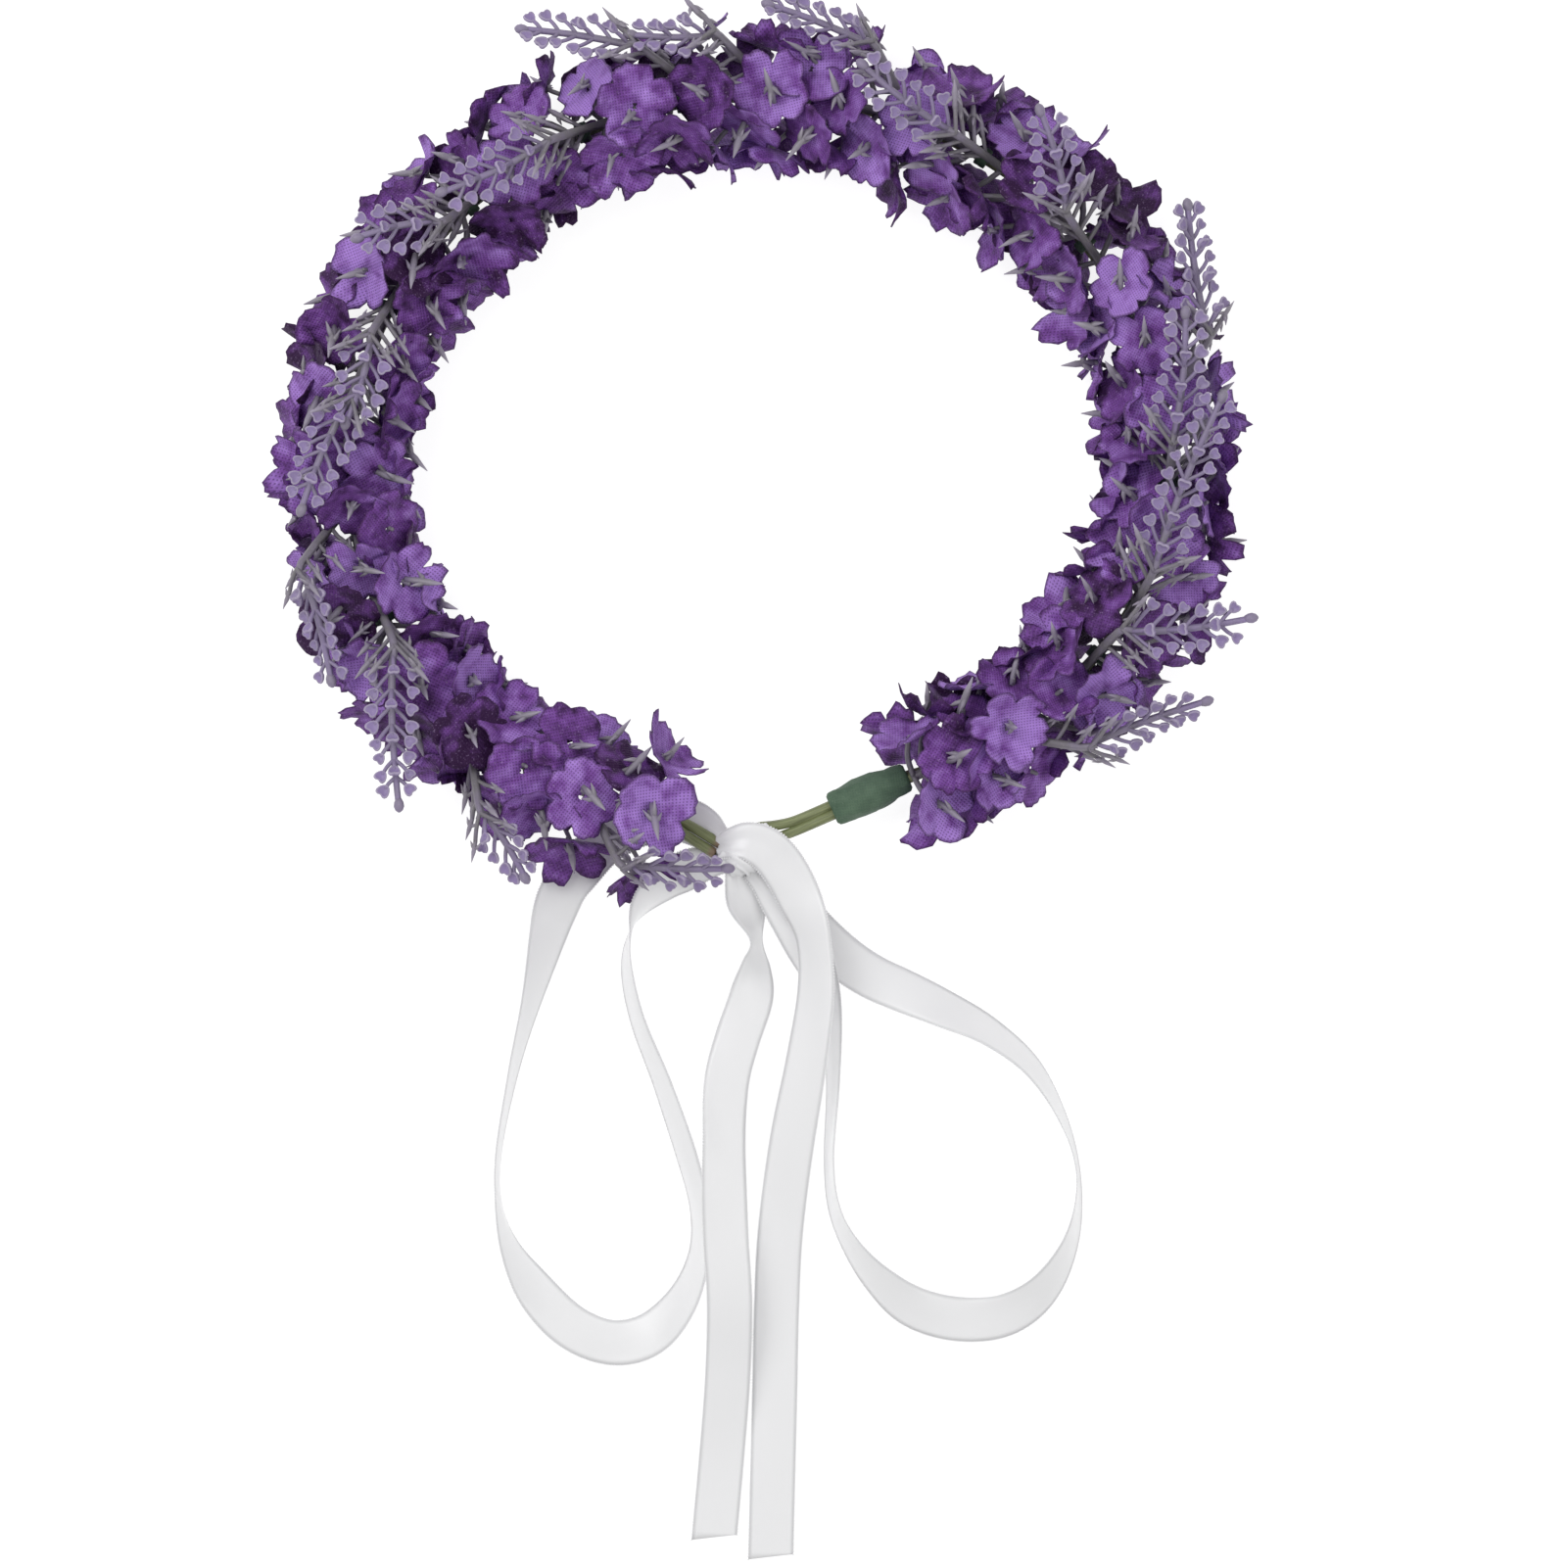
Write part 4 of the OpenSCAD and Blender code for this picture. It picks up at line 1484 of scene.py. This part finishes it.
@dataclass
class RibbonTie:
    """The satin ribbon: two loops and two tails out of one knot."""

    width: float = 11.5
    thick: float = 0.24
    across: int = 8
    hinge: tuple = (-5.0, -105.5, 7.0)
    left_loop: tuple = (
        (-7.5, -98.5, 13.5, 30), (-9.5, -95.5, 14.6, 24), (-14, -92, 9.4, 10), (-21, -89.5, 5.4, 0), (-31, -91, 4, 0),
        (-40, -96, 4, 0), (-46, -102.5, 7, 0), (-50.5, -108.5, 7, 0), (-54, -119, 4.5, 35), (-58.5, -136, 5.6, 65),
        (-63, -154, 6, 78), (-66.5, -174, 6, 84), (-66.5, -188, 6, 84), (-63.5, -200, 5.6, 65), (-57, -211, 4, 30),
        (-48, -220, 2, 10), (-37.5, -224, 1, 0), (-27.5, -221.5, 2.4, 20), (-19.5, -213, 4.5, 45),
        (-15.5, -202, 5.4, 62), (-15.5, -190, 5.6, 65), (-19, -175, 5.6, 62), (-24.5, -158, 5.6, 65),
        (-31.2, -141, 5.6, 70), (-33.8, -127.5, 5.6, 76), (-32.6, -118, 6, 91), (-29.2, -111, 7, 122),
        (-23.6, -105.6, 8.2, 145), (-17, -102, 10, 168), (-11.5, -100.4, 11.6, 180), (-7.5, -99.8, 12.6, 180))
    right_loop: tuple = (
        (-4, -99.8, 12.0, 0), (0.5, -102.4, 10.0, 0), (5, -107, 7.6, 0), (9.5, -113, 5.4, 0), (15.5, -119.6, 4, 0),
        (22, -125.4, 3.2, 4), (29, -130, 3, 10), (37, -133.6, 3, 18), (47, -138, 4, 34), (59, -144, 5, 52),
        (70, -153, 5.6, 65), (77.5, -166, 6, 78), (81.5, -180.5, 6, 84), (80.5, -196, 5.8, 70), (74, -209, 4.5, 45),
        (64, -216.5, 2.5, 20), (52, -218, 1.4, 8), (40, -215, 2.6, 20), (31, -208, 4.5, 45), (24, -199, 5.6, 65),
        (19.5, -189, 6, 75), (18, -176, 6, 78), (18.8, -158, 6, 74), (18.6, -142, 6.6, 66), (15.6, -130, 7.6, 40),
        (11.4, -120.5, 8.8, 14), (7.4, -113, 10, 0), (2.6, -106.4, 11.4, 0), (-2.2, -101.6, 13.0, 0))
    left_tail: tuple = (
        (-5.6, -99.8, 14.6, 0), (-4.9, -103.8, 12.8, 6), (-3.6, -109.5, 10.8, 18), (-0.8, -120, 10.6, 74),
        (-0.7, -127, 11, 50), (-2, -135.5, 11.4, 12), (-5.6, -146, 12, 0), (-8.3, -157, 12.6, 8),
        (-9, -172, 13.4, 20), (-8.5, -195, 13.4, 0), (-7.5, -213, 12, 0), (-8, -232, 6, 0),
        (-9.5, -252, 1.5, 0), (-11.5, -274, 0.6, 0))
    right_tail: tuple = (
        (-10.6, -96.8, 14.6, 25), (-7.2, -95.7, 17.6, 10), (-2.6, -95.3, 18.8, 0), (2.2, -97.4, 17.8, -6),
        (6.4, -102.2, 15.8, -6), (10.2, -109.5, 14.4, -14), (13.6, -119.5, 14.6, -40), (14.4, -134, 15.2, -36),
        (12, -152, 15, -26), (8.4, -172, 12, -8), (5.5, -195, 7, 0), (4.5, -215, 3, 0), (4, -238, 0.8, 0),
        (3.5, -258, 0.6, 0), (3, -279, 0.6, 0))
    gather: float = 9.0
    gather_depth: float = 0.42
    lowest: float = 0.35
    bead_pitch: float = 0.78
    bead_radius: float = 0.29
    knot_centre: tuple = (-5.0, -100.0, 13.8)
    knot_size: tuple = (4.6, 3.8, 3.6)
    blend_from: float = 0.005
    blend_to: float = 0.012
    edges: list = field(default_factory=list)

    def strands(self) -> list[Strand]:
        """The four stretches."""
        return [Strand(self.left_loop, True), Strand(self.right_loop, True),
                Strand(self.left_tail, False, 1.2), Strand(self.right_tail, False, 0.8)]

    def add_strand(self, skin: Skin, strand: Strand, rng: np.random.Generator) -> float:
        """Adds one strand.

        Args:
            skin: Where it goes.
            strand: Its route and its ends.
            rng: The source of its small waves.

        Returns:
            Its length in mm.
        """
        line = spline(np.array(strand.route, float), 10)
        run = run_of(line)
        total = run[-1]
        phases = rng.uniform(0, math.tau, 4)
        grid = np.zeros((len(line), self.across + 1, 3))
        normals, uv = np.zeros_like(grid), np.zeros((len(line), self.across + 1, 2))
        share = np.linspace(-1, 1, self.across + 1)
        for i, (p, h, d) in enumerate(zip(line, headings(line), run)):
            flat = unit(np.cross(h, UP))
            roll = math.radians(p[3])
            w = math.cos(roll) * flat + math.sin(roll) * np.cross(flat, h)
            n = np.cross(h, w)
            close = math.exp(-((d / self.gather) ** 2))
            if strand.gather_end:
                close = max(close, math.exp(-(((total - d) / self.gather) ** 2)))
            half = self.width / 2 * (1 - self.gather_depth * close)
            cup = 0.35 * math.sin(d / 17 + phases[0]) + 0.2 * math.sin(d / 7.3 + phases[1])
            pleat = 0.55 * close * np.sin(share * 7.0 + phases[2]) + 0.12 * np.sin(share * 3 + d / 9 + phases[3])
            offset = cup * (share**2 - 0.35) * 0.8 + pleat
            slant = strand.slant * share * (i == len(line) - 1)
            grid[i] = p[:3] + share[:, None] * half * w + offset[:, None] * n + slant[:, None] * h
            normals[i] = n
            uv[i] = np.column_stack([share * self.width / 2, np.full(self.across + 1, d)])
        grid[:, :, 2] = np.maximum(grid[:, :, 2], self.lowest)
        rim = np.repeat(np.abs(share)[None, :], len(line), axis=0)
        add_shell(skin, grid, normals, self.thick, uv, False, rim=rim)
        self.edges += [grid[:, 0], grid[:, -1]]
        return float(total)

    def picots(self, finish: bpy.types.Material) -> bpy.types.Mesh:
        """The dotted loops of both selvedges.

        Args:
            finish: The ribbon's material.

        Returns:
            The mesh, in metres.
        """
        verts, pairs = [], []
        for row in self.edges:
            pairs += [(len(verts) + i, len(verts) + i + 1) for i in range(len(row) - 1)]
            verts += row.tolist()
        mesh = bpy.data.meshes.new("selvedge")
        mesh.from_pydata((np.array(verts) * MM).tolist(), pairs, [])
        return bead_rows(mesh, self.bead_pitch * MM, self.bead_radius * MM, finish)

    def knot(self) -> bpy.types.Mesh:
        """The crumpled knot: a pleated core with two narrow turns of ribbon over it.

        Returns:
            The mesh, in metres.
        """
        skin, rng = Skin(), np.random.default_rng(12)
        rows, cols = 15, 30
        centre, size = np.array(self.knot_centre), np.array(self.knot_size)
        verts = []
        for a in np.arange(1, rows) * math.pi / rows:
            for t in np.arange(cols) * math.tau / cols:
                fold = 1 + 0.12 * math.sin(6 * t + 2.6 * math.sin(3 * a)) * math.sin(a) + rng.normal(0, 0.022)
                verts.append(centre + size * fold * np.array(
                    [math.cos(a), math.sin(a) * math.cos(t), math.sin(a) * math.sin(t)]))
        verts = np.array(verts + [centre + size * [1, 0, 0], centre - size * [1, 0, 0]])
        faces = ring_faces(rows - 1, cols)
        skin.add(verts, faces, corner_uvs(faces, verts), rim=0.4)
        self.band(skin, np.array([-7.2, -103.6]), np.array([-3.0, -96.2]), 6.2, 1.0)
        self.band(skin, np.array([-9.0, -97.6]), np.array([-1.0, -102.6]), 5.0, 1.8)
        return skin.mesh("knot")

    def band(self, skin: Skin, a: np.ndarray, b: np.ndarray, wide: float, lift: float) -> None:
        """Adds a short pleated band that arches over the knot.

        Args:
            skin: Where it goes.
            a: Its start, x and y.
            b: Its end.
            wide: Its width.
            lift: How far it stands over the core.
        """
        steps, share = 20, np.linspace(-1, 1, self.across + 1)
        way = unit(np.array([*(b - a), 0.0]))
        side, reach, tall = np.cross(way, UP), float(np.linalg.norm(b - a)) / 2, 3.9 + lift
        middle = np.array([*((a + b) / 2), self.knot_centre[2] - 0.6])
        grid, normals, uv = [], [], []
        for i in range(steps + 1):
            t = math.pi * (i / steps) * 1.16 - math.pi * 0.08
            p = middle - way * reach * math.cos(t) + tall * math.sin(t) * UP
            n = unit(-way * math.cos(t) / reach + math.sin(t) / tall * UP)
            pleat = 0.4 * np.sin(share * 6.0 + lift) + 0.25 * np.sin(share * 11 + i * 0.3)
            pull = 1 - 0.25 * math.sin(t)
            grid.append(p + share[:, None] * wide / 2 * pull * side + (pleat - share**2 * 1.1)[:, None] * n)
            normals.append([n] * len(share))
            uv.append(np.column_stack([share * wide / 2, np.full(len(share), i * 0.7)]))
        add_shell(skin, np.array(grid), np.array(normals), 0.3, np.array(uv), False,
                  rim=np.repeat(np.abs(share)[None], steps + 1, axis=0) * 0.9)

    def wire_turn(self, name: str, at: tuple, way: tuple) -> bpy.types.Mesh:
        """A pleated turn of ribbon round the two runs of the wire.

        Args:
            name: Name of the mesh.
            at: Its middle, in mm.
            way: The direction of the wire.

        Returns:
            The mesh.
        """
        h = unit(np.array(way, float))
        side = np.cross(h, UP)
        cols, rows = 36, 9
        grid, normals, uv = np.zeros((rows, cols, 3)), np.zeros((rows, cols, 3)), np.zeros((rows, cols, 2))
        share = np.linspace(-1, 1, rows)
        for i, s in enumerate(share):
            for j in range(cols):
                t = math.tau * j / cols
                n = math.cos(t) * side + math.sin(t) * UP
                pleat = 0.16 * math.sin(9.6 * s + 1.3 * math.sin(2 * t)) + 0.25 * (1 - s * s)
                grid[i, j] = np.array(at) + h * (2.0 * s + 0.9 * math.sin(t)) + n * (3.1 + pleat)
                normals[i, j], uv[i, j] = n, (s * 4, t * 4)
        skin = Skin()
        add_shell(skin, grid, normals, 0.3, uv, True, rim=np.repeat(np.abs(share)[:, None], cols, 1))
        return skin.mesh(name)

    def build(self, kit: Finishes) -> None:
        """Makes the ribbon, its selvedges, its knot and its turns round the wire.

        Args:
            kit: The shared steps of all materials.
        """
        finish = Satin().make(kit)
        parts, z = [], Ring.height - RingWire.drop
        for name, mesh, node in (
                ("knot", self.knot(), "ribbon_knot"),
                ("wire_turn_left", self.wire_turn("wire_turn_left", (-8.6, -98.2, z), (4.5, -2.8, 0)),
                 "ribbon_tie_left"),
                ("wire_turn_right", self.wire_turn("wire_turn_right", (0.6, -94.2, z), (9, 2.8, 0)),
                 "ribbon_tie_right")):
            piece = shown(name, mesh, finish, Body.CROWN, (node,))
            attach(piece, Body.CROWN.value)
            parts.append(piece)
        skin, rng = Skin(), np.random.default_rng(31)
        total = sum(self.add_strand(skin, s, rng) for s in self.strands())
        beads = self.picots(finish)
        nodes = ("left_loop_root", "right_loop_root", "left_loop", "right_loop", "left_tail", "right_tail")
        ribbon = shown("ribbon", skin.mesh("ribbon"), finish, Body.BOW, nodes)
        dots = shown("ribbon_selvedge", beads, finish, Body.BOW)
        for piece in (ribbon, dots):
            x, y, z = (c * MM for c in self.hinge)
            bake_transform(piece)
        LOG.info("ribbon: %.0f mm of %.1f mm ribbon shown", total, self.width)


# ---------------------------------------------------------------- studio


@dataclass
class Studio:
    """A pale floor, soft light and the camera straight above."""

    view_width: float = 0.40025
    distance: float = 2.5
    aim: tuple = (0.0064, -0.0806)

    def build(self) -> None:
        """Makes the floor, the lights and the camera."""
        scene = bpy.context.scene
        scene.view_settings.view_transform = "Standard"
        mesh = bpy.data.meshes.new("floor")
        mesh.from_pydata([(-3, -3, 0), (3, -3, 0), (3, 3, 0), (-3, 3, 0)], [], [(0, 1, 2, 3)])
        floor = bpy.data.objects.new("floor", mesh)
        scene.collection.objects.link(floor)
        paint = bpy.data.materials.new("pale_floor")
        paint.use_nodes = True
        skin = paint.node_tree.nodes["Principled BSDF"]
        skin.inputs["Base Color"].default_value = (0.3, 0.3, 0.3, 1)
        skin.inputs["Roughness"].default_value = 0.9
        skin.inputs["Specular IOR Level"].default_value = 0.1
        skin.inputs["Emission Color"].default_value = (1, 1, 1, 1)
        skin.inputs["Emission Strength"].default_value = 0.86
        mesh.materials.append(paint)
        world = bpy.data.worlds.new("soft_room")
        world.use_nodes = True
        sky = world.node_tree.nodes["Background"]
        sky.inputs["Color"].default_value = (1, 1, 1, 1)
        sky.inputs["Strength"].default_value = 0.56
        scene.world = world
        for name, place, size, power in (("key", (-0.55, 0.45, 1.15), 0.9, 9.0), ("fill", (0.8, -0.5, 0.9), 0.9, 3.0)):
            lamp = bpy.data.lights.new(name, "AREA")
            lamp.size, lamp.energy = size, power
            obj = bpy.data.objects.new(name, lamp)
            obj.location = place
            obj.rotation_euler = (Vector((0, -0.06, 0)) - Vector(place)).to_track_quat("-Z", "Y").to_euler()
            scene.collection.objects.link(obj)
        camera = bpy.data.cameras.new("camera")
        camera.sensor_width = 36.0
        camera.lens = 36.0 * self.distance / self.view_width
        camera.clip_end = 20.0
        obj = bpy.data.objects.new("camera", camera)
        obj.location = (*self.aim, self.distance + 0.015)
        scene.collection.objects.link(obj)
        scene.camera = obj


def main() -> None:
    """Builds the whole crown in order."""
    logging.basicConfig(level=logging.INFO, format="%(message)s")
    Studio().build()
    kit, scatter, ring = Finishes(), Scatter(), Ring()
    RibbonTie().build(kit)
    RingWire(ring).build(kit)
    TapeWork(ring).build(kit)
    Sprigs(ring).build(kit, scatter)
    Florets(ring).build(kit, scatter)


if __name__ == "__main__":
    main()
